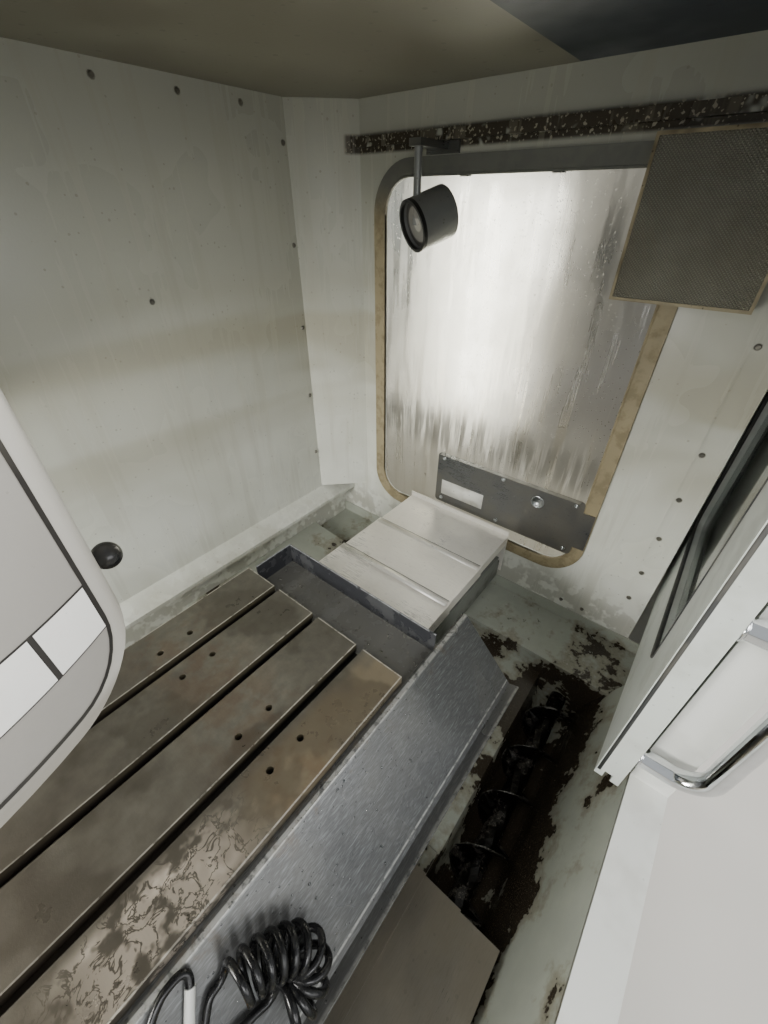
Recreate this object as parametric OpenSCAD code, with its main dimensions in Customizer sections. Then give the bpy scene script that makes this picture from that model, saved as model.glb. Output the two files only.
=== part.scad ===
// Vertical machining centre with a three-slot table, sheet-metal enclosure and two sliding front doors.
// Millimetres. X runs along the table slots, Y to the rear and Z up. The origin is on the floor under the
// middle of the machine. Depths named "_y" are measured from the spindle axis, heights from the floor.

/* [Table] */
// Length of the table along X
table_l = 914; // [800:1:1000]
// Width of the table along Y
table_w = 457; // [420:1:500]
// Thickness of the table
table_t = 70; // [60:1:76]
// Height of the table's top face above the floor
table_z = 826; // [820:1:850]
// Where the table's middle stands along X
table_x = 58; // [0:1:80]
// Pitch of the T-slots
slot_pitch = 125; // [110:1:130]
// Width of a slot at the table's face
slot_w = 18; // [14:1:22]
// Width of a slot's undercut
slot_under_w = 30; // [26:1:34]
// Depth of a slot
slot_depth = 32; // [28:1:36]
// Height of a slot's undercut
slot_under_h = 13; // [11:1:15]
// Diameter of the drilled fixture holes
fixture_hole_d = 12; // [8:1:16]
// Depth of the fixture holes
fixture_hole_depth = 30; // [20:1:40]
// Hole spacing along X
fixture_pitch_x = 62; // [50:1:80]
// Distance of each hole row from the slot beside it
fixture_row = 40; // [30:1:50]
// Where the hole group's middle lies along X, from the table's middle
fixture_x = 235; // [200:1:260]

/* [Trays and front apron] */
// Length of the tray at each table end
tray_l = 103; // [90:1:115]
// Height of the tray's lip
tray_lip = 58; // [45:1:60]
// Depth of the tray's floor under the table's face
tray_drop = 34; // [33:1:40]
// Where the tray's rear lip stands, from the table's middle
tray_rear_y = 195; // [180:1:210]
// Overhang of the apron past the table's middle, each way
apron_half_l = 667; // [640:1:690]
// Depth of the apron's slope along Y
apron_run = 124; // [110:1:130]
// Fall of the apron's slope
apron_fall = 134; // [120:1:136]
// Width of the lip along the apron's foot
apron_lip = 20; // [14:1:26]
// Thickness of folded sheet on the table
sheet_t = 3; // [2:0.5:4]

/* [Bed and slides] */
// Height of the levelling feet
foot_h = 70; // [60:1:90]
// Height of the bed's top face
bed_z = 470; // [465:1:475]
// Half width of the bed
bed_half_w = 375; // [350:1:385]
// Front end of the bed, from the spindle axis
bed_front_y = 390; // [385:1:392]
// Rear end of the bed, from the spindle axis
bed_rear_y = 1130; // [1110:1:1150]
// Distance of each Y rail from the middle
y_rail_x = 240; // [220:1:260]
// Width of a guide rail
rail_w = 35; // [30:1:40]
// Height of a guide rail
rail_h = 30; // [28:1:30]
// Running clearance between a carriage and its rail
rail_gap = 0.4; // [0.3:0.1:0.6]
// Thickness of the saddle's plate
saddle_h = 120; // [110:1:120]
// Half length of the saddle's beam along X
saddle_half_l = 1106; // [1080:1:1110]
// Half depth of the saddle along Y
saddle_half_w = 200; // [190:1:205]
// Distance of each X rail from the saddle's middle
x_rail_y = 150; // [135:1:150]

/* [Way covers] */
// Length of one plate of the X cover
x_plate_l = 385; // [384:1:386]
// Half width of the widest X cover plate
x_plate_half_w = 177; // [176:1:182]
// How far the inner X plate reaches under the table
x_plate_under = 116; // [115:1:118]
// Length of one plate of the front Y cover
y_plate_l = 160; // [158:1:162]
// Half width of the widest Y cover plate
y_plate_half_w = 375; // [350:1:380]
// Front end of the Y cover, from the spindle axis
y_cover_end = 548; // [544:1:552]
// Step in height from one cover plate to the next
plate_step = 2.3; // [2.3:0.1:2.6]
// Thickness of a cover plate
plate_t = 2; // [1.5:0.5:2.5]

/* [Column and head] */
// Half width of the column
column_half_w = 300; // [290:1:340]
// Front face of the column, from the spindle axis
column_y = 620; // [610:1:640]
// Height of the column's top face
column_top = 2350; // [2320:1:2400]
// Distance of each Z rail from the middle
z_rail_x = 200; // [190:1:220]
// Height of the spindle nose as the head stands
nose_z = 1100; // [1090:1:1110]
// Diameter of the spindle's body
spindle_d = 110; // [100:1:116]
// Radial clearance of the spindle in its housing
spindle_gap = 0.05; // [0.03:0.01:0.1]
// Diameter of the flange at the spindle nose
nose_d = 128; // [122:1:136]
// Large diameter of the tool taper
taper_d = 44.45; // [30:0.01:50]
// Diameter of the drawbar bore
drawbar_d = 17; // [12:1:22]
// Half width of the head cover
cover_half_w = 192; // [185:1:200]
// Foremost line of the head cover's bowed front, from the spindle axis
cover_front_y = 273; // [265:1:280]
// Radius of the bowed front
cover_bow_r = 330; // [300:1:400]
// Radius of the upright corners beside the bow
cover_side_r = 25; // [15:1:30]
// Height of the head cover's underside
cover_z = 1250; // [1240:1:1260]
// Height of the head cover's top
cover_top = 2060; // [2040:1:2100]
// Radius of the head cover's lower corners
cover_r = 60; // [50:1:80]

/* [Enclosure] */
// Inner face of each side wall
wall_x = 1135; // [1130:1:1145]
// Thickness of the wall sheet
wall_t = 4; // [3:0.5:6]
// Inner face of the back wall, from the spindle axis
back_y = 508; // [506:1:520]
// Width of the corner panels along each wall
corner_w = 116; // [100:1:140]
// Underside of the roof
roof_z = 1717; // [1710:1:1740]
// Front edge of the light roof panels, from the spindle axis
roof_split_y = 104; // [90:1:120]
// Outer face of the front panels, from the spindle axis
front_y = 680; // [678:1:690]
// Half width over the door pockets
front_half_w = 1350; // [1345:1:1400]
// Half width of the door opening
opening_half_w = 685; // [680:1:690]
// Height of the sill
sill_z = 700; // [690:1:704]
// Width of the sill's top face
sill_w = 60; // [50:1:62]
// Height of the pan's ledges beside the trough
ledge_z = 525; // [515:1:535]

/* [Side windows] */
// Front edge of the window hole, from the spindle axis
window_front = 338; // [320:1:345]
// Rear edge of the window hole, from the spindle axis
window_rear = 306; // [290:1:320]
// Underside of the window hole
window_z = 716; // [700:1:730]
// Height of the window hole
window_h = 860; // [800:1:880]
// Corner radius of the window hole
window_r = 70; // [50:1:90]
// Width of the window's gasket
gasket_w = 34; // [20:1:40]
// Thickness of the panes
pane_t = 8; // [6:1:10]

/* [Doors] */
// Width of each door
door_w = 700; // [696:1:702]
// Thickness of each door
door_t = 40; // [36:1:44]
// Inner face of the doors, from the spindle axis
door_y = 565; // [563:1:567]
// Height of the doors' lower edge
door_z = 716; // [712:1:720]
// Height of each door
door_h = 944; // [930:1:944]
// How far each door stands open at rest
door_open = 639; // [630:1:640]
// Diameter of the handle's tube
handle_d = 32; // [26:1:34]
// Reach of the handle from the door
handle_reach = 90; // [70:1:100]
// Height of the handle's lower leg
handle_z = 800; // [780:1:850]
// Distance between the handle's legs
handle_l = 330; // [280:1:360]

/* [Chip auger] */
// Distance of the auger's axis in front of the spindle axis
auger_y = 462; // [460:1:464]
// Height of the auger's axis
auger_z = 405; // [402:1:408]
// Radius of the flight
auger_r = 56; // [50:1:58]
// Diameter of the auger's shaft
auger_shaft_d = 42; // [36:1:46]
// Lead of the flight
auger_lead = 126; // [110:1:140]
// Half length of the flight
auger_half_l = 946; // [920:1:948]
// Radius of the trough
trough_r = 62; // [61:1:63]

/* [Lights and lamp] */
// Distance of the work light's lens from the side wall
light_depth = 60; // [50:1:80]
// Front edge of the work light, from the spindle axis
light_front = 480; // [470:1:490]
// Width of the work light along Y
light_w = 215; // [200:1:230]
// Height of the work light's lower edge
light_z = 1386; // [1370:1:1400]
// Height of the work light
light_h = 230; // [210:1:240]
// Diameter of the spot lamp's tube
lamp_d = 100; // [80:1:104]
// Length of the spot lamp's tube
lamp_l = 86; // [80:1:88]

/* [Electrics] */
// Half width of the control cabinet
cabinet_half_w = 560; // [500:1:600]
// Depth of the control cabinet
cabinet_d = 290; // [250:1:300]
// Height of the cabinet's underside
cabinet_z = 700; // [650:1:750]
// Height of the cabinet
cabinet_h = 1300; // [1200:1:1350]
// Width of the pendant
pendant_w = 420; // [380:1:440]
// Height of the pendant
pendant_h = 560; // [520:1:600]
// Depth of the pendant's case
pendant_d = 110; // [100:1:120]

/* [Air hose] */
// Outer diameter of the curled hose
curl_d = 60; // [54:1:60]
// Diameter of the hose itself
hose_d = 10; // [8:1:12]

/* [Hidden] */
$fn = 48;

wall_out = wall_x + wall_t;
table_under = table_z - table_t;
saddle_low = bed_z + rail_h + 30;
saddle_top = saddle_low + saddle_h;
slide_top = saddle_top + rail_h;
carriage_l = 100;
carriage_x = 250;
x_plate_top = table_under - 5;
tray_floor = table_z - tray_drop;
tray_x = table_l / 2;
apron_top_y = table_w / 2 + 18;
apron_top_z = table_z - 11;
apron_foot_y = apron_top_y + apron_run;
apron_foot_z = apron_top_z - apron_fall;
x_screw_z = saddle_top + 40;
y_screw_z = bed_z - 60;
z_screw_y = column_y + 30;
screw_d = 40;
x_screw_d = 32;
x_bearing = saddle_half_l - 121;
screw_gap = 0.05;
y_slot_end = 470;
housing_d = 190;
housing_low_d = 170;
housing_z = nose_z + 40;
ring_z = housing_z + 20;
ring_h = 20;
head_top = 1640;
head_half_w = 150;
yoke_half_w = 245;
roof_gap_half_w = yoke_half_w + 25;
y_plate_z = saddle_low + 22;
pocket_y = front_y - 128;
header_z = roof_z - 117;
pendant_x = 980;
pendant_z = 1050;
pendant_y = front_y + 40;
pendant_face = pendant_y + pendant_d;
cabinet_y = bed_rear_y;
button_reach = 30;
spindle_y = (pendant_face + button_reach - cabinet_y - cabinet_d) / 2;
light_x = wall_x - light_depth;
lamp_pos = [1043, 153, 1490];
lamp_tilt = 18;
lamp_yaw = -24.7;
lamp_ahead = 10;
lamp_arm_z = 1618;
screw_head_d = 11;
button_z = 1300;
button_y = -150;
button_stem_d = 12;
button_ball_r = 11;
slope_stretch = norm([apron_run, apron_fall]) / apron_run;
hose_seat = 0.45;
fitting_d = 12;
fitting_l = 38;
curl_route = [[22, 302], [45, 305], [68, 311], [91, 322], [107, 336], [104, 350], [88, 358], [66, 357],
    [44, 348]];
tail_route = [[9, 285.5], [-1, 292.5], [-14, 301], [-31, 305], [-47, 297], [-53, 280], [-41, 262], [-19, 252],
    [-1, 251.2], [4.5, 252], [8.2, 254.5], [9.5, 257.9]];
fitting_route = [[5, 265], [-15, 286]];
port_at = [-16, 324];
port_w = 24;
nipple_d = 9;

function unit(v) = v / norm(v);
function left(v) = [-v[1], v[0]];
function run_in(p, i) = i > 0 ? unit(p[i] - p[i - 1]) : unit(p[1] - p[0]);
function run_out(p, i) = i < len(p) - 1 ? unit(p[i + 1] - p[i]) : run_in(p, i);
function mitre(p, i, t) =
    let (a = left(run_in(p, i)), b = left(run_out(p, i)), m = unit(a + b))
    p[i] + m * t / (m * a);
function arc(c, r, a0, a1, n) = [for (i = [0 : n]) c + r * [cos(a0 + (a1 - a0) * i / n),
    sin(a0 + (a1 - a0) * i / n)]];

// Outline of a sheet of thickness t folded along the points p
module folded(p, t) {
    polygon(concat(p, [for (i = [len(p) - 1 : -1 : 0]) mitre(p, i, t)]));
}

// Extrudes a Y-Z outline along X
module along_x(x0, x1) {
    translate([x0, 0, 0]) rotate([90, 0, 90]) linear_extrude(x1 - x0) children();
}

// Extrudes an X-Z outline along Y
module along_y(y0, y1) {
    translate([0, y1, 0]) rotate([90, 0, 0]) linear_extrude(y1 - y0) children();
}

// Places what is measured from the spindle axis
module from_spindle() {
    translate([0, spindle_y, 0]) children();
}

module both_sides() {
    for (s = [0, 1]) mirror([s, 0, 0]) children();
}

module block(x0, x1, y0, y1, z0, z1) {
    translate([x0, y0, z0]) cube([x1 - x0, y1 - y0, z1 - z0]);
}

// Rectangle from one corner to the other, with round corners
module round_rect(x0, y0, x1, y1, r) {
    translate([x0 + r, y0]) square([x1 - x0 - 2 * r, y1 - y0]);
    translate([x0, y0 + r]) square([x1 - x0, y1 - y0 - 2 * r]);
    for (x = [x0 + r, x1 - r], y = [y0 + r, y1 - r]) translate([x, y]) circle(r);
}

module base_casting() color("#8d9189") from_spindle() difference() {
    union() {
        block(-bed_half_w, bed_half_w, -bed_front_y, bed_rear_y, foot_h + 60, bed_z);
        block(-bed_half_w - 55, bed_half_w + 55, -bed_front_y + 40, bed_rear_y, foot_h, foot_h + 60);
    }
    block(-110, 110, -bed_front_y + 60, y_slot_end, bed_z - 130, bed_z + 1);
    for (y = [-250, 10, 270], s = [-1, 1])
        translate([s * bed_half_w, y, foot_h + 180]) rotate([0, 90, 0]) cylinder(h = 260, r = 70,
            center = true);
    translate([0, -bed_front_y + 20, y_screw_z]) rotate([-90, 0, 0])
        cylinder(h = y_slot_end + bed_front_y + 20, d = screw_d + 2 * screw_gap);
}

module levelling_feet() color("#5c5f60") from_spindle()
    for (x = [-bed_half_w - 5, bed_half_w + 5], y = [-bed_front_y + 110, (bed_rear_y - bed_front_y) / 2,
        bed_rear_y - 80])
        translate([x, y, 0]) {
            cylinder(h = 22, d = 110);
            cylinder(h = foot_h, d = 36);
            translate([0, 0, foot_h - 22]) cylinder(h = 14, d = 56, $fn = 6);
        }

module column_casting() color("#8d9189") from_spindle() difference() {
    block(-column_half_w, column_half_w, column_y, bed_rear_y, bed_z, column_top);
    block(-80, 80, column_y - 1, column_y + 110, 930, column_top - 50);
    for (z = [700, 1150, 1600], s = [-1, 1])
        block(s * column_half_w - 40, s * column_half_w + 40, column_y + 110, bed_rear_y - 110, z, z + 330);
    translate([0, z_screw_y, 890]) cylinder(h = column_top, d = screw_d + 2 * screw_gap);
}

module guide_rails() color("#b8bcbd") from_spindle() {
    for (s = [-1, 1]) {
        block(s * y_rail_x - rail_w / 2, s * y_rail_x + rail_w / 2, -bed_front_y, 440, bed_z,
            bed_z + rail_h);
        block(s * z_rail_x - rail_w / 2, s * z_rail_x + rail_w / 2, column_y - rail_h, column_y, 960,
            column_top - 80);
    }
}

pan_x = auger_half_l + 14;
pan_back = [back_y, ledge_z + 30];
trough_lip_rear = [-bed_front_y - sheet_t - 0.3, bed_z - 14];
trough_lip_front = [-auger_y - trough_r - 4, auger_z + 34];
sill_foot = [-front_y + sill_w - 2, sill_z - 10];

front_slope = (sill_foot[1] - trough_lip_front[1]) / (trough_lip_front[0] - sill_foot[0]);

// Height of the pan's front slope at a distance y in front of the spindle axis
function front_slope_z(y) = trough_lip_front[1] + (y + trough_lip_front[0])
    * front_slope + sheet_t * sqrt(1 + front_slope * front_slope);
function trough_arc() = arc([-auger_y, auger_z], trough_r, 0, -180, 16);

// Chip pan: folded floor, round trough for the auger, end ledges and trough ends
module chip_pan() color("#a3a69e") from_spindle() difference() {
    union() {
        both_sides() along_x(bed_half_w + 60, pan_x + 3)
            folded(concat([pan_back, trough_lip_rear], trough_arc(), [trough_lip_front, sill_foot]),
                -sheet_t);
        along_x(-bed_half_w - 60, bed_half_w + 60)
            folded(concat([trough_lip_rear], trough_arc(), [trough_lip_front, sill_foot]), -sheet_t);
        both_sides() {
            block(bed_half_w + 0.3, bed_half_w + 60 + sheet_t - 1, trough_lip_rear[0] + 1, back_y - 1,
                trough_lip_rear[1] - 1,
                trough_lip_rear[1] + sheet_t - 1);
            along_x(bed_half_w + 60, bed_half_w + 60 + sheet_t)
                polygon([trough_lip_rear + [2, 1], [back_y - 2, trough_lip_rear[1] + 1], pan_back + [-2,
                    1], trough_lip_rear + [2, 1.5]]);
            block(pan_x, wall_x, -front_y + sill_w - 2, back_y, ledge_z - sheet_t, ledge_z);
            block(pan_x, pan_x + sheet_t, -front_y + sill_w - 2, back_y, auger_z - trough_r - 8, ledge_z);
            block(wall_x - sheet_t, wall_x, -front_y + sill_w - 2, back_y, ledge_z - sheet_t, ledge_z + 40);
        }
    }
    translate([-pan_x - 10, -auger_y, auger_z]) rotate([0, 90, 0]) cylinder(h = 2 * pan_x + 20,
        d = auger_shaft_d + 0.2);
}

module back_wall() color("#b9bcb3") from_spindle() difference() {
    union() {
        along_x(-wall_x, wall_x)
            folded([[back_y, roof_z], [back_y, ledge_z + 170], [back_y - 52, ledge_z + 140],
                [back_y - 52, ledge_z + 128]], wall_t - 1);
        block(-wall_out, wall_out, back_y, back_y + sheet_t, ledge_z - sheet_t, roof_z);
    }
    block(-roof_gap_half_w, roof_gap_half_w, back_y - 80, back_y + 20, 620, roof_z + 1);
}

module corner_panels() color("#aeb2aa") from_spindle() both_sides()
    along_z(ledge_z + 172.5, roof_z) polygon([[wall_x, back_y - corner_w - 4], [wall_x, back_y - corner_w],
        [wall_x - corner_w, back_y], [wall_x - corner_w - 4, back_y]]);

module window_hole(grow) {
    round_rect(-window_front - grow, window_z - grow, window_rear + grow, window_z + window_h + grow,
        window_r + grow);
}

module side_walls() color("#a9ada6") from_spindle() both_sides() difference() {
    union() {
        block(wall_x, wall_out, -pocket_y, back_y, foot_h, roof_z);
        block(wall_x - 16, wall_x, -pocket_y, back_y - corner_w - 6, roof_z - 84, roof_z - 66);
        block(wall_x - 2, wall_x, -pocket_y + 50, -pocket_y + 54, ledge_z + 42, roof_z - 90);
    }
    along_x(wall_x - 20, wall_out + 10) window_hole(0);
}

module side_windows() color("#cfd3cf", 0.5) from_spindle() both_sides()
    along_x(wall_out, wall_out + pane_t) window_hole(18);

module window_gaskets() color("#8a7a4e") from_spindle() both_sides()
    along_x(wall_x - 7, wall_x) difference() {
        window_hole(gasket_w);
        window_hole(0);
    }

guard_front = window_front + 2;
guard_rear = 92;
guard_z = 760;
guard_h = 170;

// Plate that keeps the end of the way cover off the window
module window_guards() color("#8f9395") from_spindle() both_sides() difference() {
    union() {
        along_x(wall_x - 7 - sheet_t, wall_x - 7) round_rect(-guard_front, guard_z, guard_rear,
            guard_z + guard_h, 12);
        block(wall_x - 24, wall_x - 7, -guard_front + 12, guard_rear - 12, guard_z + guard_h - sheet_t,
            guard_z + guard_h);
        block(wall_x - 7 - sheet_t, wall_x - 7, -guard_front - 30, -guard_front, guard_z + 30,
            guard_z + guard_h - 30);
    }
    translate([wall_x - 30, -224, guard_z + 124]) rotate([0, 90, 0]) cylinder(h = 28, d = 26);
}

module roof_panels() color("#83877f") from_spindle() difference() {
    block(-wall_out, wall_out, -roof_split_y, back_y + sheet_t, roof_z, roof_z + sheet_t);
    block(-roof_gap_half_w, roof_gap_half_w, -roof_split_y - 1, back_y + 20, roof_z - 1, roof_z + 10);
}

module roof_front() color("#45484a") from_spindle() difference() {
    block(-front_half_w, front_half_w, -front_y, -roof_split_y, roof_z, roof_z + sheet_t);
    block(-roof_gap_half_w, roof_gap_half_w, -cover_front_y - 30, -roof_split_y + 1, roof_z - 1,
        roof_z + 10);
    both_sides() block(wall_out, front_half_w + 1, -pocket_y + 4, -roof_split_y + 1, roof_z - 1,
        roof_z + 10);
}

// Fixed front panels: skin, inner edge, outer end and the pocket behind which a door parks
module front_panels() color("#d8d9d3") from_spindle() both_sides() {
    block(opening_half_w, front_half_w, -front_y, -front_y + sheet_t, sill_z, header_z);
    block(opening_half_w, opening_half_w + sheet_t, -front_y + sheet_t, -front_y + sill_w, sill_z,
        header_z);
    block(front_half_w - sheet_t, front_half_w, -front_y + sheet_t, -pocket_y + 4, foot_h, roof_z);
    block(wall_out, front_half_w - sheet_t, -pocket_y, -pocket_y + 4, foot_h, roof_z);
}

rail_bar_z = door_z + door_h - 22;

// Header over the door opening, with the rail on which the doors hang
module front_header() color("#c9cbc5") from_spindle() {
    block(-front_half_w, front_half_w, -front_y, -front_y + sheet_t, header_z, roof_z);
    block(-front_half_w + sheet_t, front_half_w - sheet_t, -front_y + sheet_t, -front_y + sill_w,
        header_z, header_z + sheet_t);
    block(-front_half_w + sheet_t, front_half_w - sheet_t, -door_y - door_t / 2 - 6,
        -door_y - door_t / 2 + 6, rail_bar_z, roof_z);
}

// Lower front panel with the pale sill and the doors' lower guide bars
module sill_panel() color("#e2e3dd") from_spindle() {
    block(-front_half_w, front_half_w, -front_y, -front_y + sheet_t, foot_h, sill_z);
    block(-front_half_w + sheet_t, front_half_w - sheet_t, -front_y, -front_y + sill_w, sill_z - sheet_t,
        sill_z);
    both_sides() {
        block(opening_half_w + 6, front_half_w - sheet_t, -front_y + sill_w, -door_y - door_t / 2 + 6,
            sill_z - sheet_t, sill_z);
        block(opening_half_w + 6, front_half_w - sheet_t, -door_y - door_t / 2 - 6,
            -door_y - door_t / 2 + 6, sill_z, door_z + 18);
    }
}

module light_box(grow) {
    translate([-light_front - grow, light_z - grow]) square([light_w + 2 * grow, light_h + 2 * grow]);
}

module work_light_housing() color("#8c8672") from_spindle() difference() {
    union() {
        along_x(light_x, wall_x - 7) light_box(0);
        block(wall_x - 8, wall_x, -light_front, -window_front - gasket_w - 0.3, light_z, light_z + light_h);
    }
    along_x(light_x - 1, wall_x - 6) light_box(-5);
}

module work_light_lens() color("#8b8c7c", 0.8) from_spindle()
    along_x(light_x + 2, light_x + 8) light_box(-5.05);

// Wall plate, arm and socket from which the spot lamp hangs
module lamp_bracket() color("#6d7071") from_spindle() {
    block(wall_x - 6, wall_x, lamp_pos[1] - 40, lamp_pos[1] + 40, lamp_arm_z - 6, lamp_arm_z + 14);
    difference() {
        block(lamp_pos[0] - 14, wall_x - 6, lamp_pos[1] - 14, lamp_pos[1] + 14, lamp_arm_z,
            lamp_arm_z + 12);
        translate([lamp_pos[0], lamp_pos[1], lamp_arm_z - 1]) cylinder(h = 11, d = 16.1);
    }
}

hinge_reach = 6;
hinge_l = 60;
hinge_y = cabinet_y + cabinet_d - 8;
hinge_heights = [for (h = [0.15, 0.5, 0.85]) cabinet_z + h * cabinet_h];

// Half of a hinge's barrel beside the cabinet's right edge
module hinge_barrel(z, r) {
    translate([cabinet_half_w + hinge_reach, hinge_y, z]) cylinder(h = hinge_l - 0.3, r = r);
}

module control_cabinet() color("#d3d4ce") from_spindle() {
    difference() {
        block(-cabinet_half_w, cabinet_half_w, cabinet_y, cabinet_y + cabinet_d - 25, cabinet_z,
            cabinet_z + cabinet_h);
        block(-cabinet_half_w + 3, cabinet_half_w - 3, cabinet_y + 3, cabinet_y + cabinet_d,
            cabinet_z + 3, cabinet_z + cabinet_h - 3);
    }
    block(-cabinet_half_w + 60, cabinet_half_w - 60, cabinet_y + 3, cabinet_y + 12, cabinet_z + 80,
        cabinet_z + cabinet_h - 80);
    for (i = [0 : 3]) block(-440 + i * 170, -320 + i * 170, cabinet_y + 12, cabinet_y + 150,
        cabinet_z + 820, cabinet_z + 1120);
    for (i = [0 : 1]) block(-440 + i * 440, -60 + i * 440, cabinet_y + 12, cabinet_y + 90,
        cabinet_z + 180 + i * 60, cabinet_z + 620);
    block(-440, 440, cabinet_y + 12, cabinet_y + 60, cabinet_z + 680, cabinet_z + 740);
    for (z = hinge_heights) {
        hinge_barrel(z - hinge_l, hinge_reach - 0.3);
        block(cabinet_half_w - 1, cabinet_half_w + hinge_reach, hinge_y - 36, hinge_y - 20, z - hinge_l,
            z - 0.3);
        block(cabinet_half_w + 1, cabinet_half_w + hinge_reach, hinge_y - 36, hinge_y - 2, z - hinge_l,
            z - 0.3);
    }
}

module cabinet_door() color("#d9dad5") from_spindle() {
    block(-cabinet_half_w, cabinet_half_w, cabinet_y + cabinet_d - 24.7, cabinet_y + cabinet_d,
        cabinet_z, cabinet_z + cabinet_h);
    for (z = hinge_heights) hinge_barrel(z, hinge_reach + 0.5);
}

module pendant_case() color("#3b3f42") from_spindle() {
    difference() {
        block(pendant_x - pendant_w / 2, pendant_x + pendant_w / 2, -pendant_face, -pendant_y, pendant_z,
            pendant_z + pendant_h);
        block(pendant_x - 160, pendant_x + 60, -pendant_face - 1, -pendant_face + 4, pendant_z + 300,
            pendant_z + 480);
        for (p = [[130, 430, 30.2], [130, 350, 24.2], [130, 200, 14.2]])
            translate([pendant_x + p[0], -pendant_face - 1, pendant_z + p[1]]) rotate([-90, 0, 0])
                cylinder(h = 31, d = p[2]);
    }
    block(pendant_x - 60, pendant_x + 60, -pendant_y, -front_y, pendant_z + 180, pendant_z + 380);
    for (r = [0 : 4], c = [0 : 6])
        block(pendant_x - 170 + c * 32, pendant_x - 146 + c * 32, -pendant_face - 2, -pendant_face,
            pendant_z + 60 + r * 36, pendant_z + 84 + r * 36);
}

module emergency_stop() color("#b3261e") from_spindle()
    translate([pendant_x + 130, -pendant_face, pendant_z + 430]) rotate([90, 0, 0]) {
        translate([0, 0, -24]) cylinder(h = 40, d = 30);
        translate([0, 0, 16]) cylinder(h = 14, d = 42);
    }

module cycle_start() color("#2f7d46") from_spindle()
    translate([pendant_x + 130, -pendant_face, pendant_z + 350]) rotate([90, 0, 0]) translate([0, 0,
        -22]) cylinder(h = 30, d = 24);

module jog_wheel() color("#23262a") from_spindle()
    translate([pendant_x + 130, -pendant_face, pendant_z + 200]) rotate([90, 0, 0]) {
        translate([0, 0, -24]) cylinder(h = 28, d = 14.1);
        translate([0, 0, 4]) cylinder(h = 18, d = 72);
        translate([22, 0, 22]) cylinder(h = 8, d = 14);
    }

// A screw head on a face whose outward normal is turned a degrees from +X about Z
module screw_head(p, a) {
    translate(p) rotate([0, 90, a]) cylinder(h = 4, d1 = screw_head_d, d2 = screw_head_d - 4, $fn = 16);
}

module panel_screws() color("#2f3133") from_spindle() {
    for (x = [459, 610, 760, 900], s = [-1, 1]) screw_head([s * x, back_y, roof_z - 22], -90);
    for (z = [840, 1040, 1240, 1440, 1640], s = [0, 1]) mirror([s, 0, 0])
        screw_head([wall_x - corner_w - 16, back_y, z], -90);
    for (z = [700, 790, 900, 1010, 1120, 1330, 1540], s = [0, 1]) mirror([s, 0, 0]) screw_head([wall_x,
        -510, z], 180);
    for (y = [-420, -360], s = [0, 1]) mirror([s, 0, 0]) screw_head([wall_x, y, ledge_z + 64], 180);
    screw_head([600, back_y, 1360], -90);
}

module motor(w, l) {
    translate([-w / 2, -w / 2, 0]) cube([w, w, l * 0.75]);
    translate([0, 0, l * 0.75]) cylinder(h = l * 0.25, d = w * 0.8);
    translate([w / 2, -18, l * 0.45]) cube([16, 36, 36]);
}

module drive_motors() color("#2d3033") from_spindle() {
    translate([0, z_screw_y, column_top]) motor(150, 250);
    translate([pan_x + sheet_t, -auger_y, auger_z]) rotate([0, 90, 0]) motor(104, 150);
}

// One plate of a way cover with its skirts
module cover_plate_x(x0, x1, half_w, top, skirt) {
    block(x0, x1, -half_w, half_w, top - plate_t, top);
    for (s = [0, 1]) mirror([0, s, 0]) block(x0, x1, half_w - plate_t, half_w, top - skirt, top - plate_t);
}

module cover_plate_y(y1, half_w, top, skirt) {
    block(-half_w, half_w, y1, y1 + y_plate_l, top - plate_t, top);
    both_sides() block(half_w - plate_t, half_w, y1, y1 + y_plate_l, top - skirt, top - plate_t);
}

y_saddle_plate = -saddle_half_w + 35 - y_plate_l;
y_plate_pitch = (-y_cover_end - y_saddle_plate) / 3;

module y_cover_fixed() color("#b9b8af") from_spindle() {
    cover_plate_y(-y_cover_end, y_plate_half_w - 3 * plate_step, y_plate_z - 3 * plate_step, 26);
    block(-y_plate_half_w + 40, y_plate_half_w - 40, -y_cover_end, -y_cover_end + sheet_t,
        front_slope_z(y_cover_end) + 0.3,
        y_plate_z - 3 * plate_step - plate_t);
}

module y_cover_front_stage() color("#b3b2a9") from_spindle()
    cover_plate_y(y_saddle_plate + 2 * y_plate_pitch, y_plate_half_w - 2 * plate_step,
        y_plate_z - 2 * plate_step, 22);

module y_cover_rear_stage() color("#b3b2a9") from_spindle()
    cover_plate_y(y_saddle_plate + y_plate_pitch, y_plate_half_w - plate_step, y_plate_z - plate_step, 18);

module y_cover_saddle() color("#b3b2a9") from_spindle()
    cover_plate_y(y_saddle_plate, y_plate_half_w, y_plate_z, 14);

module y_ball_screw() color("#9a9d9f") from_spindle()
    translate([0, -bed_front_y + 24, y_screw_z]) rotate([-90, 0, 0])
        cylinder(h = y_slot_end + bed_front_y + 12, d = screw_d);

module z_ball_screw() color("#9a9d9f") from_spindle()
    translate([0, z_screw_y, 892]) cylinder(h = column_top - 892 - 0.3, d = screw_d);

module x_ball_screw() color("#9a9d9f") from_spindle()
    translate([-x_bearing, 0, x_screw_z]) rotate([0, 90, 0]) cylinder(h = 2 * x_bearing + 20,
        d = x_screw_d);

journal_l = pan_x + sheet_t - 0.3 - auger_half_l;

// Shaft with one long flight; plain journals at both ends
module auger() color("#1f1d1b") from_spindle() translate([0, -auger_y, auger_z]) rotate([0, 90, 0]) {
    translate([0, 0, -auger_half_l]) linear_extrude(2 * auger_half_l,
        twist = -360 * 2 * auger_half_l / auger_lead,
        slices = 10 * round(2 * auger_half_l / auger_lead), $fn = 6) {
        circle(d = auger_shaft_d, $fn = 8);
        translate([0, -4]) square([auger_r, 8]);
    }
    for (z = [-auger_half_l - journal_l, auger_half_l]) translate([0, 0, z]) cylinder(h = journal_l,
        d = auger_shaft_d);
}

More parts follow.
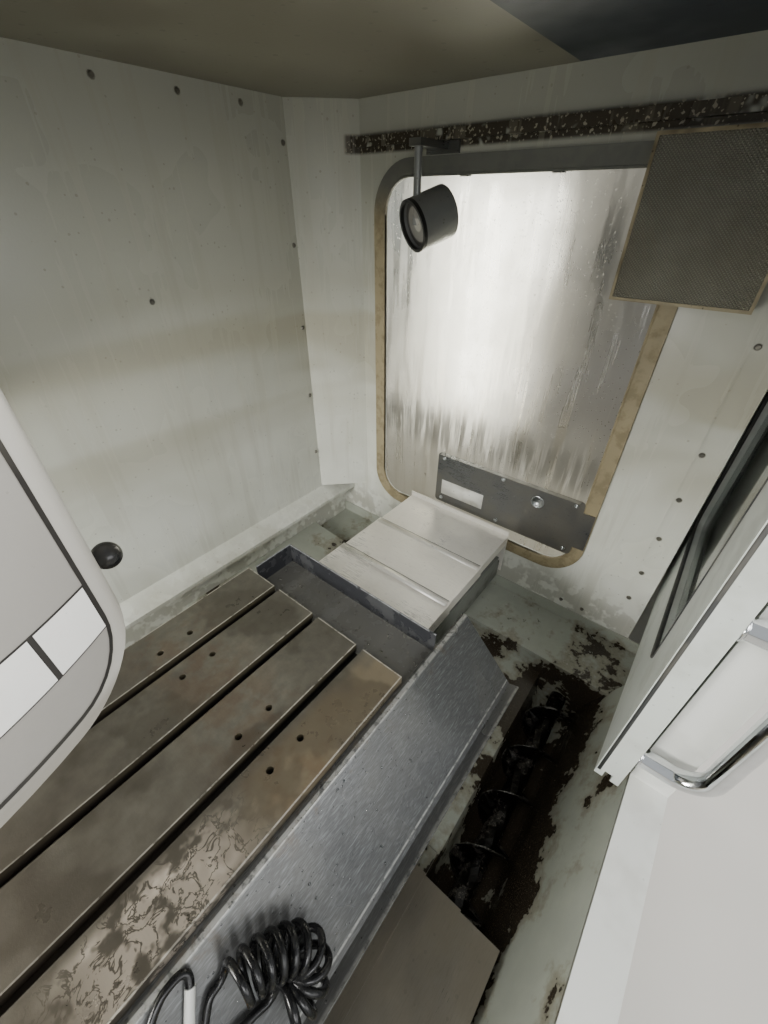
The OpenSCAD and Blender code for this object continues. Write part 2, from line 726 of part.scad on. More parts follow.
module carriage(l, w) {
    difference() {
        block(-l / 2, l / 2, -w / 2, w / 2, -18, 30);
        block(-l, l, -rail_w / 2 - rail_gap, rail_w / 2 + rail_gap, -20, rail_gap);
    }
}

module saddle() color("#7e8280") from_spindle() difference() {
    union() {
        block(-430, 430, -saddle_half_w + 40, saddle_half_w, saddle_low, saddle_top);
        block(-430, 430, -saddle_half_w, -saddle_half_w + 41, y_plate_z + 3, saddle_top);
        block(-saddle_half_l, saddle_half_l, -165, 165, saddle_top - 60, saddle_top);
        for (y = [-x_rail_y, x_rail_y])
            block(-saddle_half_l + 20, saddle_half_l - 20, y - rail_w / 2, y + rail_w / 2, saddle_top,
                slide_top);
        for (x = [-y_rail_x, y_rail_x], y = [-112, 130])
            translate([x, y, bed_z + rail_h]) rotate([0, 0, 90]) carriage(carriage_l, 70);
        for (x = [-x_bearing, x_bearing]) block(x - 15, x + 15, -60, 60, saddle_top, x_screw_z + 30);
        block(-60, 60, -60, 60, y_screw_z - 50, saddle_low);
        block(-y_plate_half_w, y_plate_half_w, -saddle_half_w + 25, -saddle_half_w + 41, y_plate_z,
            y_plate_z + 3);
    }
    translate([0, -200, y_screw_z]) rotate([-90, 0, 0]) cylinder(h = 400, d = screw_d + 2 * screw_gap);
    translate([-saddle_half_l, 0, x_screw_z]) rotate([0, 90, 0]) cylinder(h = 2 * saddle_half_l,
        d = x_screw_d + 2 * screw_gap);
}

module x_motor() color("#2d3033") from_spindle()
    translate([-x_bearing - 15, 0, x_screw_z]) rotate([0, -90, 0]) motor(64, 90);

x_fixed_end = saddle_half_l + 6;
x_fixed_edge = x_fixed_end - x_plate_l;

module x_cover_outer() color("#c9c9c2") from_spindle() both_sides() {
    cover_plate_x(x_fixed_edge, x_fixed_edge + x_plate_l, x_plate_half_w - 2 * plate_step,
        x_plate_top - 2 * plate_step, 30);
    block(x_fixed_end - plate_t, x_fixed_end, -x_plate_half_w + 4, x_plate_half_w - 4, saddle_top - 40,
        x_plate_top + 12);
    block(saddle_half_l, x_fixed_end - plate_t, -120, 120, saddle_top - 40, saddle_top - 20);
}

x_inner_right = table_x + table_l / 2 - x_plate_under;
x_inner_left = table_x - table_l / 2 + x_plate_under;

// Middle plates of both sides, held halfway between the saddle and the table
module x_cover_middle() color("#c9c9c2") from_spindle()
    for (x = [(x_fixed_edge + x_inner_right) / 2, (x_inner_left - x_fixed_edge) / 2 - x_plate_l])
        translate([x, 0, 0]) cover_plate_x(0, x_plate_l, x_plate_half_w - plate_step,
            x_plate_top - plate_step, 34);

// Innermost plates, hung under the table's ends
module x_cover_inner() color("#bdbcb2") from_spindle() {
    cover_plate_x(x_inner_right, x_inner_right + x_plate_l, x_plate_half_w, x_plate_top, 38);
    block(x_inner_right, x_inner_right + 16, -x_plate_half_w, x_plate_half_w, x_plate_top, table_under);
    cover_plate_x(x_inner_left - x_plate_l, x_inner_left, x_plate_half_w, x_plate_top, 38);
    block(x_inner_left - 16, x_inner_left, -x_plate_half_w, x_plate_half_w, x_plate_top, table_under);
}

module table() color("#6d675d") from_spindle() translate([table_x, 0, 0]) difference() {
    union() {
        block(-table_l / 2, table_l / 2, -table_w / 2, table_w / 2, table_under, table_z);
        for (x = [-carriage_x, carriage_x], s = [-1, 1]) translate([x, s * x_rail_y, slide_top]) {
            carriage(carriage_l, 70);
            block(-carriage_l / 2, carriage_l / 2, -35, 35, 29, table_under - slide_top);
        }
        block(-60, 60, -50, 50, x_screw_z - 30, table_under);
    }
    for (i = [-1 : 1]) translate([0, i * slot_pitch, 0]) {
        block(-table_l, table_l, -slot_w / 2, slot_w / 2, table_z - slot_depth, table_z + 1);
        block(-table_l, table_l, -slot_under_w / 2, slot_under_w / 2, table_z - slot_depth,
            table_z - slot_depth + slot_under_h);
    }
    for (x = [fixture_x - fixture_pitch_x / 2, fixture_x + fixture_pitch_x / 2], i = [-1, 1], s = [-1, 1])
        translate([x, i * slot_pitch + s * fixture_row, table_z - fixture_hole_depth])
            cylinder(h = fixture_hole_depth + 1, d = fixture_hole_d);
    translate([-100, 0, x_screw_z]) rotate([0, 90, 0]) cylinder(h = 200, d = x_screw_d + 2 * screw_gap);
}

module tray() {
    x1 = tray_x + tray_l;
    block(tray_x, x1, -table_w / 2 - 7, tray_rear_y, tray_floor, tray_floor + sheet_t);
    block(x1 - sheet_t, x1, -table_w / 2 - 7, tray_rear_y, tray_floor, tray_floor + tray_lip);
    block(tray_x, x1, tray_rear_y - sheet_t, tray_rear_y, tray_floor, tray_floor + tray_lip);
    block(tray_x, tray_x + sheet_t, -table_w / 2 + 12, tray_rear_y, tray_floor - 30, tray_floor);
}

module end_trays() color("#2e3338") from_spindle() translate([table_x, 0, 0]) both_sides() tray();

// Side view of the apron's sloped sheet, grown downwards to a thickness t
module apron_side(t) {
    folded([[-apron_top_y, apron_top_z], [-apron_foot_y, apron_foot_z]], t);
}

module front_apron() color("#84878a") from_spindle() translate([table_x, 0, 0]) {
    along_x(-apron_half_l, apron_half_l)
        folded([[-table_w / 2 - 7.1, apron_top_z - 24], [-table_w / 2 - 7.1, apron_top_z], [-apron_top_y,
            apron_top_z],
            [-apron_foot_y, apron_foot_z], [-apron_foot_y - apron_lip, apron_foot_z + 8]], sheet_t);
    block(-table_l / 2, table_l / 2, -table_w / 2 - 7.1, -table_w / 2, apron_top_z - 24, apron_top_z - 8);
}

// A point on the apron's slope: along X from the table's middle, Y in front of it, and height over the sheet
function on_apron(p, lift) = [table_x + p[0], -p[1],
    apron_top_z - (p[1] - apron_top_y) * apron_fall / apron_run + lift];

function spline(p, i, t) =
    let (a = p[max(i - 1, 0)], b = p[i], c = p[min(i + 1, len(p) - 1)], d = p[min(i + 2, len(p) - 1)])
    0.5 * ((2 * b) + (c - a) * t + (2 * a - 5 * b + 4 * c - d) * t * t + (3 * b - a - 3 * c + d)
        * t * t * t);
function curve(p, n) = concat([for (i = [0 : len(p) - 2], k = [0 : n - 1]) spline(p, i, k / n)],
    [p[len(p) - 1]]);
function side_of(d) = unit(cross(d, [0, 0, 1]));

// One tube of n sides swept along the points p
module swept(p, d, n) {
    m = len(p);
    dirs = [for (i = [0 : m - 1]) unit(p[min(i + 1, m - 1)] - p[max(i - 1, 0)])];
    points = [for (i = [0 : m - 1], k = [0 : n - 1])
        let (u = side_of(dirs[i]), v = cross(u, dirs[i]), a = 360 * k / n) p[i] + d / 2 * (cos(a)
            * u + sin(a) * v)];
    sides = [for (i = [0 : m - 2], k = [0 : n - 1])
        [i * n + k, i * n + (k + 1) % n, (i + 1) * n + (k + 1) % n, (i + 1) * n + k]];
    polyhedron(points, concat([[for (k = [n - 1 : -1 : 0]) k]], sides, [[for (k = [0 : n - 1]) (m - 1)
        * n + k]]));
}

curl_line = curve([for (p = curl_route) on_apron(p, curl_d / 2 * slope_stretch + hose_seat)], 4);
curl_end = len(curl_line) - 1;
curl_run = [unit(curl_line[0] - curl_line[1]), unit(curl_line[curl_end] - curl_line[curl_end - 1])];
hose_lift = hose_d / 2 * slope_stretch + 2 * hose_seat;
fitting_ends = [for (p = fitting_route) on_apron(p, fitting_d / 2 * slope_stretch + 2 * hose_seat)];
fitting_run = unit(fitting_ends[1] - fitting_ends[0]);

// Where the hose leaves the curl's face, on the side towards the sheet, and how far it has run from there
function curl_exit(end, run) =
    let (d = [0, apron_fall, -apron_run], low = unit(d - (d * curl_run[end]) * curl_run[end]))
    curl_line[end * curl_end] + run * curl_run[end] + (curl_d - hose_d - 1) / 2 * low;

tail_line = concat([curl_exit(0, 0.4)],
    curve(concat([curl_exit(0, 6)], [for (p = tail_route) on_apron(p, hose_lift)],
        [fitting_ends[0] - 6 * fitting_run]), 4),
    [fitting_ends[0] - 0.3 * fitting_run]);
port_seat = on_apron(port_at, 0);
port_z = port_seat[2] + 14;
nipple_end = [port_seat[0] + port_w / 2 + 12, port_seat[1], port_z];
lead_line = concat([curl_exit(1, 0.4)], curve([curl_exit(1, 5), nipple_end + [6, 0, 0]], 4),
    [nipple_end + [0.3, 0, 0]]);

module hose_curl() color("#151515") from_spindle() swept(curl_line, curl_d, 12);

// Straight ends of the hose: one to the loose fitting, one to the port
module hose_tail() color("#151515") from_spindle() {
    swept(tail_line, hose_d, 10);
    swept(lead_line, hose_d, 10);
}

// Elbow block screwed to the apron, with the nipple the air hose is pushed on
module hose_port() color("#b08d3c") from_spindle() {
    difference() {
        translate([port_seat[0] - port_w / 2, port_seat[1] - port_w / 2, port_seat[2] - 40])
            cube([port_w, port_w, 40 + port_z + 10 - port_seat[2]]);
        translate([table_x, 0, 0]) along_x(port_at[0] - port_w, port_at[0] + port_w) apron_side(60);
    }
    translate([port_seat[0] + port_w / 2 - 1, port_seat[1], port_z]) rotate([0, 90, 0]) cylinder(h = 13,
        d = nipple_d);
}

module hose_fitting() color("#c8c9c4") from_spindle()
    translate(fitting_ends[0]) rotate([0, acos(fitting_run[2]), atan2(fitting_run[1], fitting_run[0])])
        cylinder(h = fitting_l, d = fitting_d);

module head_casting() color("#9b9f99") from_spindle() difference() {
    union() {
        along_x(-head_half_w, head_half_w)
            polygon([[-130, cover_z + 40], [-130, head_top], [500, head_top], [500, 1230], [240,
                cover_z + 40]]);
        cylinder_from(housing_d, ring_z, head_top);
        cylinder_from(housing_low_d, housing_z, ring_z + 1);
        block(-yoke_half_w, yoke_half_w, 500, column_y - rail_h - 30, 1230, head_top);
        for (s = [-1, 1], z = [1290, 1580]) translate([s * z_rail_x, column_y - rail_h, z]) rotate([90,
            0, 0]) rotate([0, 0, 90]) carriage(carriage_l, 70);
        block(-50, 50, column_y - rail_h - 31, z_screw_y + 34, 1400, 1500);
    }
    translate([0, 0, housing_z - 1]) cylinder(h = head_top, d = spindle_d + 2 * spindle_gap);
    translate([0, z_screw_y, 1390]) cylinder(h = 120, d = screw_d + 2 * screw_gap);
}

module cylinder_from(d, z0, z1) {
    translate([0, 0, z0]) cylinder(h = z1 - z0, d = d);
}

module spindle() color("#c2c4c4") from_spindle() difference() {
    union() {
        cylinder_from(nose_d, nose_z, housing_z - 0.3);
        cylinder_from(spindle_d, nose_z, head_top - 0.3);
        for (s = [-1, 1]) block(s * (nose_d / 2 - 12) - 9, s * (nose_d / 2 - 12) + 9, -8, 8, nose_z - 8,
            nose_z + 1);
    }
    translate([0, 0, nose_z - 0.01]) cylinder(h = 65.4, d1 = taper_d, d2 = taper_d - 19);
    translate([0, 0, nose_z - 1]) cylinder(h = head_top, d = drawbar_d);
}

module spindle_motor() color("#2d3033") from_spindle() {
    block(-120, 120, -120, 120, head_top, head_top + 20);
    translate([0, 0, head_top + 20]) cylinder(h = 300, d = 220);
    translate([0, 0, head_top + 320]) cylinder(h = 40, d = 180);
}

cover_rear_y = 180;
bow_y = cover_bow_r - cover_front_y;
side_x = cover_half_w - cover_side_r;
side_y = bow_y - sqrt((cover_bow_r - cover_side_r) * (cover_bow_r - cover_side_r) - side_x * side_x);
bow_edge_x = side_x * cover_bow_r / (cover_bow_r - cover_side_r);

// Plan of the head cover: a bowed front that runs tangent into round corners
module cover_plan(inset) {
    translate([-cover_half_w + inset, side_y]) square([2 * (cover_half_w - inset),
        cover_rear_y - side_y + 20 * inset]);
    for (x = [-side_x, side_x]) translate([x, side_y]) circle(cover_side_r - inset);
    intersection() {
        translate([0, bow_y]) circle(cover_bow_r - inset, $fn = 192);
        translate([-bow_edge_x, -cover_front_y]) square([2 * bow_edge_x, cover_front_y + side_y + 1]);
    }
}

module cover_face(inset) {
    round_rect(-cover_half_w + inset, cover_z + inset, cover_half_w - inset, cover_top - inset,
        cover_r - inset);
}

module head_cover() color("#beb9b0") from_spindle() difference() {
    intersection() {
        along_z(cover_z, cover_top) cover_plan(0);
        along_y(-cover_front_y - 1, cover_rear_y + 1) cover_face(0);
    }
    intersection() {
        along_z(cover_z, cover_top) cover_plan(3);
        along_y(-cover_front_y - 1, 300) cover_face(3);
    }
    block(-head_half_w, head_half_w, cover_rear_y - 40, cover_rear_y + 20, cover_z - 1, head_top + 1);
    translate([0, 0, cover_z - 1]) cylinder(h = 10, d = housing_d + 0.6);
    translate([0, button_y, button_z]) rotate([0, 90, 0]) cylinder(h = cover_half_w + 1,
        d = button_stem_d + 0.2);
}

module along_z(z0, z1) {
    translate([0, 0, z0]) linear_extrude(z1 - z0) children();
}

module tool_release_button() color("#151617") from_spindle()
    translate([cover_half_w - 16, button_y, button_z]) rotate([0, 90, 0]) rotate_extrude() difference() {
        union() {
            square([button_stem_d / 2, 26]);
            translate([0, 31]) circle(r = button_ball_r);
        }
        translate([-20, 0]) square([20, 60]);
    }

module coolant_ring() color("#8b8f91") from_spindle() {
    difference() {
        cylinder_from(220, ring_z - ring_h, ring_z);
        translate([0, 0, ring_z - ring_h - 1]) cylinder(h = ring_h + 2, d = housing_low_d + 0.4);
    }
    for (a = [45 : 90 : 315]) rotate([0, 0, a]) translate([100, 0, ring_z - ring_h - 26])
        cylinder(h = 26, d = 12);
}

module door_frame() {
    difference() {
        block(0, door_w, -door_y - door_t, -door_y, door_z, door_z + door_h);
        along_y(-door_y - door_t - 1, -door_y + 1) round_rect(110, door_z + 190, door_w - 90,
            door_z + door_h - 120, 30);
        block(-1, door_w + 1, -door_y - door_t / 2 - 6.4, -door_y - door_t / 2 + 6.4,
            door_z + door_h - 22.4, door_z + door_h + 1);
        block(-1, door_w + 1, -door_y - door_t / 2 - 6.4, -door_y - door_t / 2 + 6.4, door_z - 1,
            door_z + 18.4);
    }
}

module door_pane() {
    along_y(-door_y - door_t / 2 - 4, -door_y - door_t / 2 + 4) round_rect(110, door_z + 190,
        door_w - 90, door_z + door_h - 120, 30);
}

// Quarter bend of the handle's tube in the Y-Z plane, from a degrees
module handle_bend(bend, a) {
    rotate([90, 0, 90]) rotate([0, 0, a]) rotate_extrude(angle = 90) translate([bend, 0])
        circle(d = handle_d, $fn = 32);
}

// Tube handle with two legs and bent corners
module door_handle() {
    bend = 46;
    translate([20, -door_y - door_t, handle_z]) {
        for (z = [0, handle_l]) translate([0, 0, z]) rotate([90, 0, 0]) cylinder(h = handle_reach - bend,
            d = handle_d);
        translate([0, -handle_reach, bend]) cylinder(h = handle_l - 2 * bend, d = handle_d);
        translate([0, -handle_reach + bend, bend]) handle_bend(bend, 180);
        translate([0, -handle_reach + bend, handle_l - bend]) handle_bend(bend, 90);
    }
}

module door_right() color("#c6c8c2") from_spindle() translate([door_open + 1, 0, 0]) door_frame();
module door_left() color("#c6c8c2") from_spindle() mirror([1, 0, 0]) translate([door_open + 1, 0, 0])
    door_frame();
module door_panes_right() color("#cfd6d6", 0.5) from_spindle() translate([door_open + 1, 0, 0]) door_pane();
module door_panes_left() color("#cfd6d6", 0.5) from_spindle() mirror([1, 0, 0]) translate([door_open + 1,
    0, 0]) door_pane();
module handle_right() color("#d5d7d8") from_spindle() translate([door_open + 1, 0, 0]) door_handle();
module handle_left() color("#d5d7d8") from_spindle() mirror([1, 0, 0]) translate([door_open + 1, 0, 0])
    door_handle();

// Tubular lamp hung from a stem, its mouth towards the table
module spot_lamp() color("#8a8d8e") from_spindle() translate(lamp_pos) {
    cylinder(h = lamp_arm_z + 9.7 - lamp_pos[2], d = 16);
    rotate([0, -90 - lamp_tilt, lamp_yaw]) translate([0, 0, lamp_ahead - lamp_l]) difference() {
        cylinder(h = lamp_l, d = lamp_d);
        translate([0, 0, lamp_l - 14]) cylinder(h = 20, d = lamp_d - 12);
    }
}

base_casting();
levelling_feet();
column_casting();
guide_rails();
chip_pan();
back_wall();
corner_panels();
side_walls();
side_windows();
window_gaskets();
window_guards();
roof_panels();
roof_front();
front_panels();
front_header();
sill_panel();
work_light_housing();
work_light_lens();
lamp_bracket();
control_cabinet();
cabinet_door();
pendant_case();
panel_screws();
drive_motors();
y_cover_fixed();
y_ball_screw();
z_ball_screw();
auger();
spot_lamp();
emergency_stop();
cycle_start();
jog_wheel();
saddle();
x_motor();
x_ball_screw();
x_cover_outer();
x_cover_middle();
y_cover_saddle();
y_cover_rear_stage();
y_cover_front_stage();
table();
end_trays();
front_apron();
x_cover_inner();
hose_curl();
hose_tail();
hose_fitting();
hose_port();
head_casting();
spindle();
spindle_motor();
head_cover();
tool_release_button();
coolant_ring();
door_right();
door_left();
door_panes_right();
door_panes_left();
handle_right();
handle_left();
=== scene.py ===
"""Dresses a packed vertical machining centre: finishes on its solids, its hose, trim, lights and camera."""

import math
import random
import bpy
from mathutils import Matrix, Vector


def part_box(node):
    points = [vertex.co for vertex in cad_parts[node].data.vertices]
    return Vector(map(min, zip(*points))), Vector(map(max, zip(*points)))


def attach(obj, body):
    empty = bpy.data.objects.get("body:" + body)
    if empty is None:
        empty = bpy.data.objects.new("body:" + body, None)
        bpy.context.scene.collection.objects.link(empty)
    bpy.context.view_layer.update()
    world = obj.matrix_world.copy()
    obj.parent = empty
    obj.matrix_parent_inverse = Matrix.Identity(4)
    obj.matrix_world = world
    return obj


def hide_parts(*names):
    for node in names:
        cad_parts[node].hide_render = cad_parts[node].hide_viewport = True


bl_info = {
    "name": "Machining Centre Dressing",
    "version": (1, 0, 0),
    "blender": (4, 5, 0),
    "location": "3D View > Sidebar > Machining Centre",
    "description": "Finishes, hose, trim, stage and camera of a vertical machining centre",
    "category": "Object",
}

import bmesh
import bpy
from bpy.props import FloatProperty, FloatVectorProperty, IntProperty, PointerProperty
from mathutils import Matrix, Vector

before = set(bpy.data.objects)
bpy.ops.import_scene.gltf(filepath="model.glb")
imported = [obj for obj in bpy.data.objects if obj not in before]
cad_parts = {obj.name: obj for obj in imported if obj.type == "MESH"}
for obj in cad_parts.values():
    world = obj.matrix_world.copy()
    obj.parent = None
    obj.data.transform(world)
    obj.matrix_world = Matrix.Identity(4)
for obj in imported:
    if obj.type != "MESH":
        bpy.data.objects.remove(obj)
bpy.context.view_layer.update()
SPINDLE_Y = -0.28
SLOT_PITCH = 0.125
TABLE_MIDDLE_X = 0.058
HEAD_SIDE_X = 0.192
GUARD_X, SIDE_WALL_X = 1.125, 1.135
BACK_WALL_Y, PENDANT_FACE_Y, CABINET_BACK_Y = 0.508 + SPINDLE_Y, -0.83 + SPINDLE_Y, 1.13 + SPINDLE_Y
DOOR_FRONT_Y, DOOR_REAR_Y = SPINDLE_Y - 0.605, SPINDLE_Y - 0.565
SIDES = (("right", 1), ("left", -1))


def tone(red, green, blue):
    """Scene colour of a red, green and blue from 0 to 255."""
    return tuple(((c / 255 + 0.055) / 1.055) ** 2.4 if c > 10 else c / 3294 for c in (red, green, blue))


def colour_prop(name, description, rgb):
    return FloatVectorProperty(name=name, description=description, default=tone(*rgb), size=3, min=0, max=1,
                               subtype="COLOR")


def length_prop(name, description, default):
    return FloatProperty(name=name, description=description, default=default, min=0, subtype="DISTANCE",
                         unit="LENGTH")


class FinishColours(bpy.types.PropertyGroup):
    """Base colours of the machine's finishes; the front roof, slot, wall haze and plate colours also hold
    painted light or shade.
    """
    wall: colour_prop("Wall paint", "Enclosure walls inside", (190, 191, 178))
    # the wall haze colour: the milky film's colour, made paler as painted light on the lower walls
    wall_low: colour_prop("Wall haze", "Milky film low on the walls", (216, 218, 209))
    head: colour_prop("Head cover", "Paint on the head cover", (176, 173, 165))
    label: colour_prop("Label field", "Grey field on the bowed cover front", (146, 143, 137))
    roof: colour_prop("Roof panels", "Light roof panels seen from inside", (138, 136, 122))
    # the front roof colour: painted shade, the roof paint darkened over the doors
    roof_dark: colour_prop("Front roof", "Dark roof over the doors", (58, 64, 72))
    table: colour_prop("Table stain", "Oil-stained cast iron", (106, 104, 94))
    # the slot colour: painted shade deep inside the table's slots
    table_bare: colour_prop("Bare table", "Worn patches of the table", (196, 184, 168))
    slot: colour_prop("Slot shade", "Oily faces inside the slots", (22, 21, 20))
    apron: colour_prop("Apron sheet", "Wet steel of the apron", (78, 79, 79))
    # the cover plate colour: brushed steel's tone, raised almost to white as a painted reflection of the
    # bright window
    plate: colour_prop("Cover plates", "Brushed way cover plates", (243, 240, 231))
    pan: colour_prop("Chip pan", "Paint of the pan", (160, 164, 152))
    sludge: colour_prop("Sludge", "Oil and fine chips on the pan", (50, 43, 34))
    auger: colour_prop("Auger", "Oily steel of the auger", (30, 28, 26))
    tray: colour_prop("Trays", "Dark paint of the end trays", (42, 43, 46))
    gasket: colour_prop("Gasket", "Aged window gasket", (134, 124, 98))
    guard: colour_prop("Guard", "Scuffed guard plate", (108, 110, 110))
    rim: colour_prop("Light rim", "Dirty rim of the work light", (146, 136, 108))
    lens: colour_prop("Lens", "Prismatic lens", (206, 206, 190))
    outside: colour_prop("Outer paint", "Pale panels outside", (222, 223, 217))
    casting: colour_prop("Castings", "Painted castings", (142, 146, 139))
    dark: colour_prop("Dark parts", "Motors, pendant and screws", (44, 47, 50))
    hose: colour_prop("Hose", "Glossy black hose", (16, 16, 17))
    pale: colour_prop("Fitting", "Pale hose fitting", (202, 203, 198))


class HoseSizes(bpy.types.PropertyGroup):
    """Sizes of the curled air hose on the apron."""
    thickness: length_prop("Hose diameter", "Outer diameter of the hose", 0.010)
    coil: length_prop("Coil radius", "Radius of the coil to the middle of the hose", 0.0245)
    turns: IntProperty(name="Turns", description="Turns of the coil", default=11, min=3, max=20)
    length: length_prop("Hose length", "Real length of the hose", 1.90)


class CameraPlace(bpy.types.PropertyGroup):
    """Where the picture is taken from."""
    lens: FloatProperty(name="Focal length", description="Focal length for a 36 mm sensor", default=14.626,
                        subtype="DISTANCE_CAMERA")
    place: FloatVectorProperty(name="Place", description="Camera position", default=(0.1533, -0.7547, 1.5242),
                               size=3, subtype="TRANSLATION", unit="LENGTH")


def hue(name, k=1.0):
    """A colour of the machine's finishes, darker where k is under 1."""
    return tuple(c * k for c in getattr(bpy.context.scene.machine_colours, name))


# Node trees

class Value:
    """A value in a node tree. Arithmetic on it adds Math nodes."""

    def __init__(self, tree, socket):
        self.tree, self.socket = tree, socket

    def math(self, kind, *others):
        node = self.tree.nodes.new("ShaderNodeMath")
        node.operation = kind
        for i, other in enumerate((self,) + others):
            plug(self.tree, node.inputs[i], other)
        return Value(self.tree, node.outputs[0])

    def __add__(self, other):
        return self.math("ADD", other)

    def __sub__(self, other):
        return self.math("SUBTRACT", other)

    def __mul__(self, other):
        return self.math("MULTIPLY", other)

    def __or__(self, other):
        return self.math("MAXIMUM", other)

    __and__ = __mul__

    def above(self, edge, soft=0.002):
        """1 where the value is over the edge, 0 under it."""
        return ramp(self.tree, self, edge + -soft, edge + soft)

    def below(self, edge, soft=0.002):
        return self.above(edge, soft).flip()

    def flip(self):
        return (self * -1.0) + 1.0

    def near(self, middle, half, soft=0.002):
        """1 within half of the middle."""
        return (self - middle).math("ABSOLUTE").below(half, soft)

    def inside(self, low, high, soft=0.002):
        return self.near((low + high) / 2, (high - low) / 2, soft)


def plug(tree, socket, value):
    if isinstance(value, Value):
        tree.links.new(value.socket, socket)
    elif isinstance(value, bpy.types.NodeSocket):
        tree.links.new(value, socket)
    elif isinstance(value, (tuple, list, Vector)) and len(socket.default_value) == 4:
        socket.default_value = (*value[:3], 1)
    else:
        socket.default_value = value


def new_node(tree, kind, **inputs):
    """A shader node of that kind; an underscore in an input's name stands for a space."""
    node = tree.nodes.new("ShaderNode" + kind)
    for label, value in inputs.items():
        plug(tree, node.inputs[label.replace("_", " ")], value)
    return node


def ramp(tree, value, low, high):
    """0 under the low end, 1 over the high end and smooth between them."""
    node = new_node(tree, "MapRange", Value=value, From_Min=low, From_Max=high)
    node.interpolation_type = "SMOOTHSTEP"
    return Value(tree, node.outputs[0])


def spread(tree, stretch=(1, 1, 1), shift=(0, 0, 0)):
    """Object coordinates scaled along each axis, for stretched patterns."""
    place = new_node(tree, "TexCoord").outputs["Object"]
    return new_node(tree, "Mapping", Vector=place, Scale=stretch, Location=shift).outputs[0]


def noise(tree, scale, detail=3, rough=0.55, warp=0, stretch=(1, 1, 1), shift=(0, 0, 0)):
    node = new_node(tree, "TexNoise", Vector=spread(tree, stretch, shift), Scale=scale, Detail=detail,
                    Roughness=rough, Distortion=warp)
    return Value(tree, node.outputs[0])


def blend(tree, mask, low, high, colour=True):
    """The low colour or value where the mask is 0 and the high one where it is 1."""
    node = tree.nodes.new("ShaderNodeMix")
    first = 2
    if colour:
        node.data_type, first = "RGBA", 6
    plug(tree, node.inputs[0], mask)
    plug(tree, node.inputs[first], low)
    plug(tree, node.inputs[first + 1], high)
    return node.outputs[2] if colour else Value(tree, node.outputs[0])


def start_group(name, inputs, outputs):
    group = bpy.data.node_groups.new(name, "ShaderNodeTree")
    for label, default, low, high in inputs:
        socket = group.interface.new_socket(label, in_out="INPUT", socket_type="NodeSocketFloat")
        socket.default_value, socket.min_value, socket.max_value = default, low, high
    for label in outputs:
        group.interface.new_socket(label, in_out="OUTPUT", socket_type="NodeSocketFloat")
    entry, out = group.nodes.new("NodeGroupInput"), group.nodes.new("NodeGroupOutput")
    return group, [Value(group, s) for s in entry.outputs[:-1]], out


def blotch_group():
    """Ragged patches of a film or stain."""
    group, (scale, cover, soft), out = start_group(
        "Blotches", [("Scale", 8, 0, 500), ("Cover", 0.4, 0, 1), ("Softness", 0.06, 0, 1)], ["Mask"])
    field = noise(group, scale, 3, 0.64)
    middle = cover.flip() * 0.5 + 0.25
    group.links.new(ramp(group, field, middle - soft, middle + soft).socket, out.inputs[0])
    return group


def drop_group():
    """Small round drops of coolant, of mixed sizes."""
    group, (scale, cover), out = start_group(
        "Drops", [("Scale", 140, 1, 2000), ("Cover", 0.5, 0, 1)], ["Mask", "Height"])
    cell = new_node(group, "TexVoronoi", Vector=spread(group), Scale=scale)
    split = new_node(group, "SeparateColor", Color=cell.outputs["Color"])
    size = Value(group, split.outputs[0]).math("POWER", 2.2) * 0.36
    there = (Value(group, split.outputs[1]) - cover).below(0, 0.02)
    reach = (size - Value(group, cell.outputs["Distance"])).math("MAXIMUM", 0.0)
    group.links.new((reach.above(0.02, 0.02) * there).socket, out.inputs[0])
    group.links.new(((reach * 3.0).math("SQRT") * there).socket, out.inputs[1])
    return group


def grain_group():
    """Fine brushing marks; the stretch along each axis sets their direction."""
    group, (sx, sy, sz, cut), out = start_group(
        "Brushing", [*((f"Along {axis}", 1, 0, 50) for axis in "XYZ"), ("Contrast", 0.5, 0, 4)],
        ["Shade", "Height"])
    scaled = new_node(group, "VectorMath")
    scaled.operation = "MULTIPLY"
    plug(group, scaled.inputs[0], new_node(group, "TexCoord").outputs["Object"])
    plug(group, scaled.inputs[1], new_node(group, "CombineXYZ", X=sx, Y=sy, Z=sz).outputs[0])
    node = new_node(group, "TexNoise", Vector=scaled.outputs[0], Scale=60, Detail=2, Roughness=0.7)
    field = Value(group, node.outputs[0])
    group.links.new(((field - 0.5) * cut).socket, out.inputs[0])
    group.links.new(field.socket, out.inputs[1])
    return group


def streak_group():
    """Runs of water down an upright face."""
    group, (scale, cover), out = start_group("Runs", [("Scale", 30, 1, 500), ("Cover", 0.4, 0, 1)], ["Mask"])
    wide = noise(group, scale, 1, 0.6, 0, (1, 1, 0.09))
    fine = noise(group, scale * 4.0, 1, 0.7, 0, (1, 1, 0.05), (3, 1, 2))
    field = wide * 0.65 + fine * 0.35
    group.links.new(field.above(cover.flip() * 0.4 + 0.3, 0.05).socket, out.inputs[0])
    return group


built = {}


def effect(tree, make, *values):
    """Places a shared effect in a material with its own values and gives its outputs."""
    if make not in built:
        built[make] = make()
    node = tree.nodes.new("ShaderNodeGroup")
    node.node_tree = built[make]
    for socket, value in zip(node.inputs, values):
        plug(tree, socket, value)
    return [Value(tree, s) for s in node.outputs]


